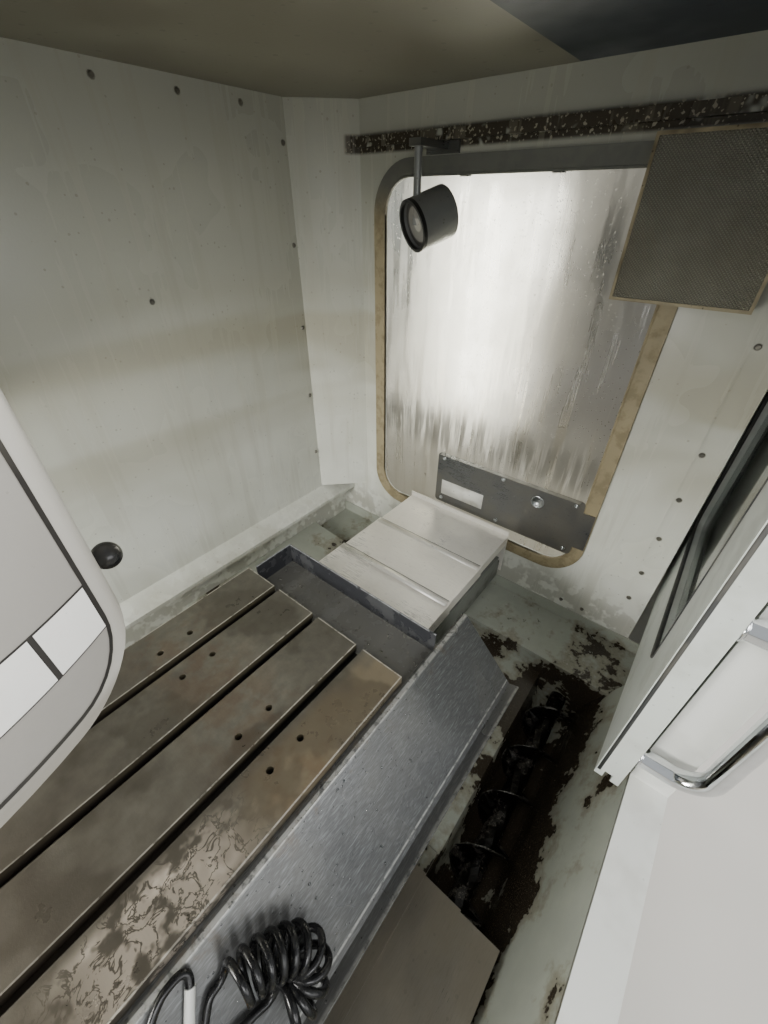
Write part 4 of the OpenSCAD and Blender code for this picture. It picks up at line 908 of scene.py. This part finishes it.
def hose_line():
    """Points of the hose in metres, from the port through the coil to the fitting."""
    sizes = bpy.context.scene.machine_hose
    axis = even(spline([on_apron(p, CURL_LIFT) for p in CURL_ROUTE], 12), 1.0)
    down = Vector((0, APRON_FALL, -APRON_RUN)).normalized()
    n = len(axis) - 1
    full = sizes.turns * 2 * math.pi / (n - END_BEND) * sizes.coil * 1000
    raw = []
    for i in range(n):
        part = min(i + 0.5, n - i - 0.5, END_BEND * 0.999) / END_BEND
        raw.append(min(full, part / math.sqrt(1 - part * part)))
    total = sum(raw)
    phase, turned = [0.0], 0.0
    for step in raw:
        turned += step / total * sizes.turns * 2 * math.pi
        phase.append(turned)
    coil = []
    for i, p in enumerate(axis):
        run = (axis[min(i + 1, n)] - axis[max(i - 1, 0)]).normalized()
        low = (down - run * down.dot(run)).normalized()
        side = run.cross(low)
        coil.append(p + (low * math.cos(phase[i]) + side * math.sin(phase[i])) * sizes.coil * 1000)
    ends = [(axis[0] - axis[1]).normalized(), (axis[n] - axis[n - 1]).normalized()]
    low = [(down - e * down.dot(e)).normalized() for e in ends]
    first = [axis[0] + ends[0] * s + low[0] * sizes.coil * 1000 for s in (3, 6)]
    last = [axis[n] + ends[1] * s + low[1] * sizes.coil * 1000 for s in (3, 5)]
    fit = [on_apron(p, FITTING_LIFT) for p in FITTING_ROUTE]
    toward = (fit[1] - fit[0]).normalized()
    tail = spline([first[1]] + [on_apron(p, TAIL_LIFT) for p in TAIL_ROUTE] + [fit[0] - toward * 6], 8)
    seat = on_apron(PORT_AT, 0)
    nipple = seat + Vector((PORT_W / 2 + 12, 0, PORT_RISE))
    lead = [nipple + Vector((0.3, 0, 0))] + spline([nipple + Vector((6, 0, 0)), last[1]], 4)
    fine = even(spline(coil, 6), COIL_STEP)
    line = lead + [last[0]] + fine[::-1] + [first[0]] + tail + [fit[0] - toward * 0.3]
    kept = [line[0]]
    for p in line[1:-1]:
        if (p - kept[-1]).length > LEAST_GAP and (p - line[-1]).length > LEAST_GAP:
            kept.append(p)
    kept.append(line[-1])
    for _ in range(2):
        inner = [b * 0.5 + (a + c) * 0.25 for a, b, c in zip(kept, kept[1:], kept[2:])]
        kept = [kept[0]] + inner + [kept[-1]]
    return [(p + Vector((0, SPINDLE_Y * 1000, 0))) * 0.001 for p in kept]


class MACHINE_OT_hose(bpy.types.Operator):
    bl_idname = "machine.hose"
    bl_label = "Air hose"

    def execute(self, context):
        sizes = context.scene.machine_hose
        line = hose_line()
        data = bpy.data.curves.new("air_hose", "CURVE")
        data.dimensions, data.bevel_depth, data.bevel_resolution = "3D", sizes.thickness / 2, 4
        data.use_fill_caps = True
        thread = data.splines.new("POLY")
        thread.points.add(len(line) - 1)
        for point, p in zip(thread.points, line):
            point.co = (*p, 1)
        thread.use_smooth = True
        hose = bpy.data.objects.new("air_hose", data)
        context.scene.collection.objects.link(hose)
        data.materials.append(glossy_hose())
        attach(hose, "table_body")
        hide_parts("hose_curl", "hose_tail")
        tuple(line[0])
        return {"FINISHED"}


# Finishes on the solids

class MACHINE_OT_finishes(bpy.types.Operator):
    """Gives every solid of the machine its finish"""
    bl_idname = "machine.finishes"
    bl_label = "Finishes"

    def execute(self, context):
        dress(wall_paint(), "back_wall", "corner_panels", "side_walls")
        dress(roof_paint("roof_light", hue("roof"), tone(98, 90, 72)), "roof_panels")
        # the front roof takes a darker copy of the roof paint as painted shade
        dress(roof_paint("roof_dark", hue("roof_dark"), tone(84, 90, 96)), "roof_front")
        dress(head_paint(), "head_cover")
        dress(table_iron(), "table")
        dress(tray_paint(), "end_trays")
        dress(apron_sheet(), "front_apron")
        # the X cover plates' near-white colour holds a painted reflection of the window as well as the
        # steel's tone
        plates = brushed_plate("plate_steel_x", hue("plate"), (9, 0.5, 9), 0.35, 0.1)
        dress(plates, "x_cover_outer", "x_cover_inner", "x_cover_middle")
        dress(brushed_plate("plate_steel_y", tone(158, 151, 138), (0.6, 9, 9), 0.92, 0.45),
              "y_cover_fixed", "y_cover_saddle", "y_cover_rear_stage", "y_cover_front_stage")
        dress(brushed_plate("guard_steel", hue("guard"), (1, 0.8, 7), 0.75, 0.4),
              "window_guards", "lamp_bracket")
        dress(pan_paint(), "chip_pan")
        dress(auger_steel(), "auger")
        dress(misted_glass(), "side_windows")
        dress(clear_glass(), "door_panes_right", "door_panes_left")
        dress(aged_gasket(), "window_gaskets")
        dress(plain_paint("light_rim", hue("rim"), 0.5, 0.75, 0.1, 200, (74, 62, 40)), "work_light_housing")
        dress(prism_lens(), "work_light_lens")
        dress(plain_paint("outer_paint", hue("outside"), 0.42, 0.12),
              "front_panels", "front_header", "control_cabinet", "cabinet_door")
        dress(plain_paint("sill_paint", hue("outside"), 0.38, 0.2, 0, 260, (150, 144, 126)), "sill_panel")
        dress(plain_paint("door_paint", tone(198, 203, 196), 0.36, 0.2), "door_right", "door_left")
        dress(plain_paint("casting_paint", hue("casting"), 0.5, 0.35, 0, 90),
              "base_casting", "column_casting", "head_casting")
        dress(plain_paint("saddle_paint", hue("casting", 0.8), 0.45, 0.5, 0.1, 90, (60, 56, 46)), "saddle")
        dress(plain_paint("dark_paint", hue("dark"), 0.42, 0.3), "drive_motors", "x_motor", "spindle_motor")
        plain_paint("screw_black", hue("dark", 0.7), 0.35, 0.4, 0.5)
        dress(plain_paint("screw_zinc", tone(104, 102, 94), 0.34, 0.5, 0.5), "panel_screws")
        dress(polished("rail_steel", tone(184, 188, 189), 0.24),
              "guide_rails", "x_ball_screw", "y_ball_screw", "z_ball_screw", "levelling_feet")
        dress(polished("spindle_steel", tone(194, 196, 196), 0.16), "spindle")
        dress(polished("handle_chrome", tone(222, 224, 226), 0.07), "handle_right", "handle_left")
        dress(polished("lamp_metal", tone(150, 152, 152), 0.34), "coolant_ring")
        dress(lamp_metal(), "spot_lamp")
        dress(pendant_paint(), "pendant_case")
        dress(plain_paint("stop_red", tone(186, 36, 28), 0.24, 0.1), "emergency_stop")
        dress(plain_paint("start_green", tone(44, 128, 68), 0.26, 0.1), "cycle_start")
        dress(plain_paint("knob_black", tone(20, 21, 23), 0.2, 0.2), "jog_wheel", "tool_release_button")
        dress(plain_paint("pale_fitting", hue("pale"), 0.35, 0.3), "hose_fitting")
        dress(polished("port_brass", tone(176, 141, 60), 0.3), "hose_port")
        return {"FINISHED"}


# Small pieces

BOW_R, BOW_Y = 0.330, 0.057


def bow_point(along, z, rise):
    """A point on the head cover's bowed front, a distance along the bow from its middle."""
    a = along / BOW_R
    r = BOW_R + rise
    return Vector((r * math.sin(a), SPINDLE_Y + BOW_Y - r * math.cos(a), z))


def bow_patch(name, rows, rise, material, columns=40):
    """A thin sheet on the bow; rows are (z, left end, right end)."""
    points, faces, n = [], [], columns + 1
    for z, left, right in rows:
        points += [bow_point(left + (right - left) * k / columns, z, rise) for k in range(n)]
    for i in range(len(rows) - 1):
        faces += [[i * n + k, i * n + k + 1, (i + 1) * n + k + 1, (i + 1) * n + k] for k in range(columns)]
    add_mesh(name, points, faces, material, "head_body")


def rounded_rows(half, low, high, r, steps=8):
    """Rows of a field whose two lower corners are round."""
    rows = []
    for k in range(steps + 1):
        a = math.pi / 2 * k / steps
        rows.append((low + r - r * math.cos(a), half - r + r * math.sin(a)))
    return [(z, -w, w) for z, w in rows + [(low + r + (high - low - r) * k / 6, half) for k in range(1, 7)]]


def field_path(half, low, high, r, inset):
    """Line down the field's right side, round its lower corners and up its left side, moved inwards."""
    side, arc = half - inset, r - inset
    right = [(side, high + (low + r - high) * k / 12) for k in range(12)]
    right += [(half - r + arc * math.cos(a), low + r - arc * math.sin(a))
              for a in (math.pi / 2 * k / 8 for k in range(9))]
    middle = [((half - r) * (1 - k / 20), low + inset) for k in range(1, 21)]
    return right + middle + [(-x, z) for x, z in (right + middle[:-1])[::-1]]


class MACHINE_OT_cover_field(bpy.types.Operator):
    """Adds the bordered grey field and two blank squares to the head cover's bowed front"""
    bl_idname = "machine.cover_field"
    bl_label = "Cover field"

    def execute(self, context):
        field = plain_paint("label_grey", hue("label"), 0.34, 0.16, 0, 300)
        dark = plain_paint("border_dark", tone(44, 42, 40), 0.36, 0.1, 0, 300)
        white = plain_paint("blank_white", tone(226, 225, 220), 0.4, 0.1, 0, 300)
        half, low, high, r = 0.1888, 1.262, 1.560, 0.046
        rows = rounded_rows(half, low, high, r)
        bow_patch("cover_field", rows, 0.0005, field)
        strip = Builder()
        pairs = zip(field_path(half, low, high, r, 0.0), field_path(half, low, high, r, 0.0032))
        points = [bow_point(x, z, 0.0009) for pair in pairs for x, z in pair]
        strip.add(points, [[i, i + 2, i + 3, i + 1] for i in range(0, len(points) - 2, 2)])
        strip.make("cover_border", dark, "head_body", "cover_warm")
        for name, first, width, half, rise, paint, columns in (
                ("square_frame", 18.9, 13.4, 0.0192, 0.0008, dark, 16),
                ("blank_square_outer", 25.9, 6.2, 0.018, 0.0011, white, 8),
                ("blank_square_inner", 19.1, 6.2, 0.018, 0.0011, white, 8)):
            a0, a1 = math.radians(first) * BOW_R, math.radians(first + width) * BOW_R
            bow_patch(name, [(1.320 + k * half, a0, a1) for k in (-1, 0, 1)], rise, paint, columns)
        return {"FINISHED"}


class MACHINE_OT_head_trim(bpy.types.Operator):
    """Adds the release button's collar and the head cover's side screws and louvres"""
    bl_idname = "machine.head_trim"
    bl_label = "Head trim"

    def execute(self, context):
        collar = Builder()
        profile = [(0.0075, -0.0005), (0.0110, -0.0005), (0.0120, 0.001), (0.0110, 0.003), (0.0090, 0.0040),
                   (0.0075, 0.0040)]
        collar.lathe((HEAD_SIDE_X, -0.43, 1.3), (1, 0, 0), profile, 32)
        collar.make("button_collar", made("rail_steel"), "head_body", "lamp_grey")
        screws = Builder()
        for side in (-1, 1):
            for y in (-0.36, -0.13):
                for z in (1.33, 1.62, 1.95):
                    screws.screw((side * HEAD_SIDE_X, y, z), (side, 0, 0), 0.006, 0.0035)
        screws.make("cover_screws", made("screw_black"), "head_body", "screw_black")
        vents = Builder()
        for side in (-1, 1):
            for k in range(7):
                z = 1.78 + k * 0.022
                vents.plate((side * 0.1915, -0.33, z), (side * 0.1965, -0.16, z + 0.009), 0.002)
        vents.make("cover_louvres", made("head_paint"), "head_body", "cover_warm")
        return {"FINISHED"}


class MACHINE_OT_drops(bpy.types.Operator):
    """Scatters coolant drops on the apron and chips in the trays and on the pan's ledge"""
    bl_idname = "machine.drops"
    bl_label = "Drops and chips"

    def execute(self, context):
        dice = random.Random(7)
        up = Vector((0, -APRON_FALL, APRON_RUN)).normalized()
        drops = Builder()
        for _ in range(120):
            x, along = dice.uniform(-0.45, 0.70), dice.uniform(4, 118)
            p = on_apron((x * 1000 - TABLE_X, APRON_TOP_Y + along), 0)
            p = (p + Vector((0, SPINDLE_Y * 1000, 0))) * 0.001
            r = dice.uniform(0.0008, 0.0024)
            profile = [(r, 0), (r * 0.94, r * 0.22), (r * 0.7, r * 0.42), (r * 0.3, r * 0.5),
                       (0.00005, r * 0.52)]
            drops.lathe(p - up * 0.0001, up, profile, 10)
        drops.make("apron_drops", clear_drop(), "table_body", "window_glass")
        chip = polished("chip_metal", tone(186, 184, 176), 0.22)

        def curls(name, count, spot, body, slot):
            pile = Builder()
            for _ in range(count):
                p, turn = Vector(spot()), dice.uniform(0, 6.28)
                r, length, n = dice.uniform(0.0015, 0.004), dice.uniform(1.0, 2.6), 10
                w = dice.uniform(0.0008, 0.002)
                axis = Vector((math.cos(turn), math.sin(turn), 0))
                side = Vector((-axis.y, axis.x, 0))
                points = []
                for k in range(n + 1):
                    a = length * math.pi * k / n
                    rise = Vector((0, 0, r + math.sin(a) * r + 0.0003))
                    q = p + axis * (k * w * 0.5) + side * (math.cos(a) * r) + rise
                    points += [q, q + axis * w]
                pile.add(points, [[2 * k, 2 * k + 1, 2 * k + 3, 2 * k + 2] for k in range(n)])
            pile.make(name, chip, body, slot)

        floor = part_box("end_trays")[0].z + 0.033
        for side, (x0, x1) in (("right", (0.522, 0.61)), ("left", (-0.494, -0.406))):
            curls(f"tray_chips_{side}", 22, lambda: (dice.uniform(x0, x1), dice.uniform(-0.5, -0.1), floor),
                  "table_body", "tray_blue")
        curls("ledge_chips", 60, lambda: (dice.uniform(0.97, 1.12), dice.uniform(-0.78, 0.1), 0.5252),
              "frame", "pan_grey")
        return {"FINISHED"}


class MACHINE_OT_guard_label(bpy.types.Operator):
    """Adds the window guards' blank pale fields, screws and rings"""
    bl_idname = "machine.guard_label"
    bl_label = "Guard field"

    def execute(self, context):
        pale = plain_paint("guard_field", tone(214, 214, 206), 0.4, 0.5, 0, 300, (130, 122, 96))
        for side, s in SIDES:
            x = s * GUARD_X
            field = Builder()
            # only the right field has chamfers
            field.plate((x - s * 0.0008, SPINDLE_Y - 0.07, 0.79), (x + s * 0.0002, SPINDLE_Y + 0.072, 0.84),
                        0.0004 if s > 0 else 0)
            field.make(f"guard_field_{side}", pale, "frame", "guard_metal")
            screws = Builder()
            for y in (-0.32, -0.12, 0.07):
                for z in (0.775, 0.915):
                    screws.screw((x, SPINDLE_Y + y, z), (-s, 0, 0), 0.006, 0.0035)
            ring = [(0.0135, -0.003), (0.0135, 0.0006), (0.0165, 0.0012), (0.018, 0.0002), (0.018, -0.001)]
            screws.lathe((x, SPINDLE_Y - 0.224, 0.884), (-s, 0, 0), ring, 32)
            screws.make(f"guard_screws_{side}", made("rail_steel"), "frame", "guard_metal")
        return {"FINISHED"}


class MACHINE_OT_cover_lips(bpy.types.Operator):
    """Adds the folded lips and wipers across the way covers' edges"""
    bl_idname = "machine.cover_lips"
    bl_label = "Cover lips"

    def execute(self, context):
        bright = made("plate_steel_x")
        rubber = plain_paint("seal_rubber", tone(62, 63, 63), 0.55, 0.3)
        for node, body, rise in (("x_cover_inner", "table_body", 0.0011),
                                 ("x_cover_middle", "x_cover_middle_body", 0.0002)):
            low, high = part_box(node)
            lips, wipers = Builder(), Builder()
            for side in (-1, 1):
                edge = high.x if side > 0 else -low.x
                half = (high.y - low.y) / 2 - 0.004
                for form, out, over, under, top, fold in (
                        (lips, 0.022, 0.0022, 0.0004, rise, 0.0007),
                        (wipers, 0.0026, 0.0002, 0.0012, rise * 0.7, 0.0004)):
                    form.plate((side * (edge - out), SPINDLE_Y - half, high.z - under),
                               (side * (edge - over), SPINDLE_Y + half, high.z + top), fold)
            lips.make(f"{node}_lips", bright, body, "cover_steel")
            wipers.make(f"{node}_wipers", rubber, body, "knob_black")
        return {"FINISHED"}


class MACHINE_OT_window_trim(bpy.types.Operator):
    """Adds the windows' inner beads and the clamps outside"""
    bl_idname = "machine.window_trim"
    bl_label = "Window trim"

    def execute(self, context):
        bead = made("aged_gasket")
        for side, s in SIDES:
            seal = Builder()
            line = rounded_path((SPINDLE_Y - 0.338, 0.716), (SPINDLE_Y + 0.306, 1.576), 0.070, 8,
                                lambda y, z: Vector((s * 1.130, y, z)))
            seal.sweep(line, [(0.000, -0.004), (0.004, -0.003), (0.0055, 0), (0.004, 0.003), (0.000, 0.004)],
                       (1, 0, 0), True)
            seal.make(f"window_bead_{side}", bead, "frame", "gasket_tan")
            clamps = Builder()
            for y in (-0.31, -0.1, 0.1, 0.28):
                for z in (0.706, 1.586):
                    clamps.plate((s * 1.1392, SPINDLE_Y + y - 0.014, z - 0.012),
                                 (s * 1.1505, SPINDLE_Y + y + 0.014, z + 0.012), 0.002)
                    clamps.screw((s * 1.1504, SPINDLE_Y + y, z), (s, 0, 0), 0.006, 0.004, 12)
            clamps.make(f"window_clamps_{side}", made("screw_black"), "frame", "screw_black")
        return {"FINISHED"}


class MACHINE_OT_screw_washers(bpy.types.Operator):
    """Adds washers under the panel screws"""
    bl_idname = "machine.screw_washers"
    bl_label = "Panel washers"

    def execute(self, context):
        rings = Builder()
        front = (0, -1, 0)
        spots = [((s * x, BACK_WALL_Y, 1.695), front) for x in (0.459, 0.61, 0.76, 0.9) for s in (-1, 1)]
        spots += [((s * 1.003, BACK_WALL_Y, z), front)
                  for z in (0.84, 1.04, 1.24, 1.44, 1.64) for s in (-1, 1)]
        spots += [((s * SIDE_WALL_X, -0.79, z), (-s, 0, 0))
                  for z in (0.7, 0.79, 0.9, 1.01, 1.12, 1.33, 1.54) for s in (-1, 1)]
        spots += [((0.6, BACK_WALL_Y, 1.36), front)]
        for p, axis in spots:
            rings.lathe(p, axis, [(0.0046, 0.0002), (0.0046, 0.0006), (0.0058, 0.0008), (0.0064, 0.0004),
                                  (0.0064, 0.0)], 20)
        zinc = plain_paint("washer_zinc", tone(148, 148, 138), 0.4, 0.3, 0.3)
        rings.make("panel_washers", zinc, "frame", "machined_steel")
        return {"FINISHED"}


class MACHINE_OT_door_trim(bpy.types.Operator):
    """Adds the door panes' rubber beads, the edge seals and the handles' roses"""
    bl_idname = "machine.door_trim"
    bl_label = "Door trim"

    def execute(self, context):
        rubber = made("seal_rubber")
        for side, s in SIDES:
            body = f"door_{side}_body"
            bead = Builder()
            x0, x1 = sorted((s * 0.750, s * 1.250))
            for y, out in ((DOOR_FRONT_Y, -1), (DOOR_REAR_Y, 1)):
                line = rounded_path((x0, 0.906), (x1, 1.540), 0.030, 6, lambda x, z: Vector((x, y, z)))
                bead.sweep(line, [(0, -0.006), (out * 0.002, -0.005), (out * 0.0022, 0.001), (0, 0.002)],
                           (0, 1, 0), True)
            bead.make(f"pane_bead_{side}", rubber, body, "knob_black")
            seal = Builder()
            seal.plate((s * 0.6396, SPINDLE_Y - 0.572, 0.73), (s * 0.6404, SPINDLE_Y - 0.5665, 1.65), 0.0003)
            seal.make(f"edge_seal_{side}", rubber, body, "knob_black")
            foot = Builder()
            rose = [(0.0165, 0), (0.0190, 0.0004), (0.0195, 0.003), (0.0180, 0.005), (0.0165, 0.006)]
            for z in (0.8, 1.13):
                foot.lathe((s * 0.66, DOOR_FRONT_Y, z), (0, -1, 0), rose, 32)
            foot.make(f"handle_roses_{side}", made("handle_chrome"), body, "handle_chrome")
        return {"FINISHED"}


class MACHINE_OT_pendant_trim(bpy.types.Operator):
    """Adds the pendant's screen, corner screws and the rings round its buttons"""
    bl_idname = "machine.pendant_trim"
    bl_label = "Pendant trim"

    def execute(self, context):
        screen = Builder()
        screen.plate((0.8205, PENDANT_FACE_Y + 0.0005, 1.3505), (1.0395, PENDANT_FACE_Y + 0.0038, 1.5295),
                     0.0008)
        screen.make("pendant_screen", screen_glass(), "frame", "pendant_dark")
        rings = Builder()
        for x, z, r in ((1.11, 1.48, 0.0155), (1.11, 1.4, 0.0125), (1.11, 1.25, 0.0075)):
            rings.lathe((x, PENDANT_FACE_Y, z), (0, -1, 0),
                        [(r, 0), (r, 0.0012), (r + 0.002, 0.002), (r + 0.005, 0.0012), (r + 0.0055, 0)], 40)
        rings.make("button_rings", made("rail_steel"), "frame", "machined_steel")
        screws = Builder()
        for side in (-1, 1):
            for z in (1.075, 1.585):
                screws.screw((0.98 + side * 0.196, PENDANT_FACE_Y, z), (0, -1, 0), 0.005, 0.003)
        screws.make("pendant_screws", made("screw_black"), "frame", "screw_black")
        return {"FINISHED"}


class MACHINE_OT_cabinet_trim(bpy.types.Operator):
    """Adds the cabinet's louvres, seal, latches and the fins of its units"""
    bl_idname = "machine.cabinet_trim"
    bl_label = "Cabinet trim"

    def execute(self, context):
        inside = plain_paint("unit_grey", tone(168, 172, 172), 0.45, 0.1)
        units = Builder()
        for i in range(4):
            x = -0.44 + i * 0.17
            for z in (1.55 + k * 0.028 for k in range(9)):
                units.plate((x + 0.01, CABINET_BACK_Y + 0.1495, z),
                            (x + 0.11, CABINET_BACK_Y + 0.1525, z + 0.01), 0.001)
        units.make("unit_fins", inside, "frame", "front_white")
        vents = Builder()
        for side in (-1, 1):
            for z in (1.68 + k * 0.026 for k in range(9)):
                vents.plate((side * 0.5595, 0.92, z), (side * 0.5650, 1.06, z + 0.01), 0.0022)
        vents.make("cabinet_louvres", made("outer_paint"), "frame", "front_white")
        gasket = Builder()
        line = [Vector((x, CABINET_BACK_Y + 0.2651, z))
                for x, z in ((-0.553, 0.707), (0.553, 0.707), (0.553, 1.993), (-0.553, 1.993))]
        gasket.sweep(line, [(-0.003, -0.0002), (0.003, -0.0002), (0.003, 0.0001), (-0.003, 0.0001)],
                     (0, 1, 0), True)
        gasket.make("cabinet_seal", made("seal_rubber"), "frame", "knob_black")
        latch = Builder()
        for z in (0.9, 1.35, 1.8):
            latch.plate((-0.5645, 1.1180, z - 0.03), (-0.5598, 1.1370, z + 0.03), 0.002)
            latch.screw((-0.5640, 1.1275, z + 0.012), (-1, 0, 0), 0.007, 0.004)
        latch.make("cabinet_latches", made("handle_chrome"), "cabinet_door_body", "handle_chrome")
        return {"FINISHED"}


class MACHINE_OT_frame_bolts(bpy.types.Operator):
    """Adds the rails' bolt caps, the bed's bolts and the spindle motor's ribs"""
    bl_idname = "machine.frame_bolts"
    bl_label = "Frame bolts"

    def execute(self, context):
        caps = Builder()
        profile = [(0.0001, 0.0001), (0.0055, 0.0001), (0.0062, 0.0003), (0.0062, -0.0005)]
        for side in (-1, 1):
            for k in range(17):
                caps.lathe((side * 0.2, 0.62 + SPINDLE_Y - 0.030, 1.0 + k * 0.078), (0, -1, 0), profile, 14)
            for k in range(10):
                caps.lathe((side * 0.24, SPINDLE_Y - 0.35 + k * 0.085, 0.5), (0, 0, 1), profile, 14)
        caps.make("rail_bolt_caps", made("screw_black"), "frame", "screw_black")
        flange = Builder()
        for side in (-1, 1):
            for y in (0.7, 0.85, 1.0):
                flange.screw((side * 0.40, SPINDLE_Y + y, 0.13), (0, 0, 1), 0.014, 0.012, 6)
        flange.make("bed_bolts", made("rail_steel"), "frame", "machined_steel")
        motor = Builder()
        for k in range(12):
            a = 2 * math.pi * k / 12
            motor.lathe((0.098 * math.cos(a), SPINDLE_Y + 0.098 * math.sin(a), 1.66), (0, 0, 1),
                        [(0.011, 0.0), (0.011, 0.296), (0.008, 0.2995), (0.0001, 0.2998)], 10)
        motor.make("motor_ribs", made("dark_paint"), "head_body", "motor_black")
        return {"FINISHED"}


STEPS = (MACHINE_OT_camera, MACHINE_OT_hose, MACHINE_OT_stage, MACHINE_OT_finishes, MACHINE_OT_cover_field,
         MACHINE_OT_cover_lips, MACHINE_OT_head_trim, MACHINE_OT_drops, MACHINE_OT_guard_label,
         MACHINE_OT_window_trim, MACHINE_OT_screw_washers, MACHINE_OT_door_trim, MACHINE_OT_pendant_trim,
         MACHINE_OT_cabinet_trim, MACHINE_OT_frame_bolts)


class MACHINE_PT_panel(bpy.types.Panel):
    """Lists the steps of the dressing and its settings"""
    bl_idname = "MACHINE_PT_panel"
    bl_label = "Machining Centre"
    bl_space_type = "VIEW_3D"
    bl_region_type = "UI"
    bl_category = "Machining Centre"

    def draw(self, context):
        for step in STEPS:
            self.layout.operator(step.bl_idname)
        for name in ("machine_colours", "machine_hose", "machine_camera"):
            group = getattr(context.scene, name)
            box = self.layout.box()
            for key in group.__annotations__:
                box.prop(group, key)


CLASSES = (FinishColours, HoseSizes, CameraPlace, *STEPS, MACHINE_PT_panel)
PROPERTIES = {"machine_colours": FinishColours, "machine_hose": HoseSizes, "machine_camera": CameraPlace}


def register():
    for cls in CLASSES:
        bpy.utils.register_class(cls)
    for name, cls in PROPERTIES.items():
        setattr(bpy.types.Scene, name, PointerProperty(type=cls))


def unregister():
    for name in PROPERTIES:
        delattr(bpy.types.Scene, name)
    for cls in reversed(CLASSES):
        bpy.utils.unregister_class(cls)


def main():
    register()
    for step in STEPS:
        category, name = step.bl_idname.split(".")
        getattr(getattr(bpy.ops, category), name)()


if __name__ == "__main__":
    main()
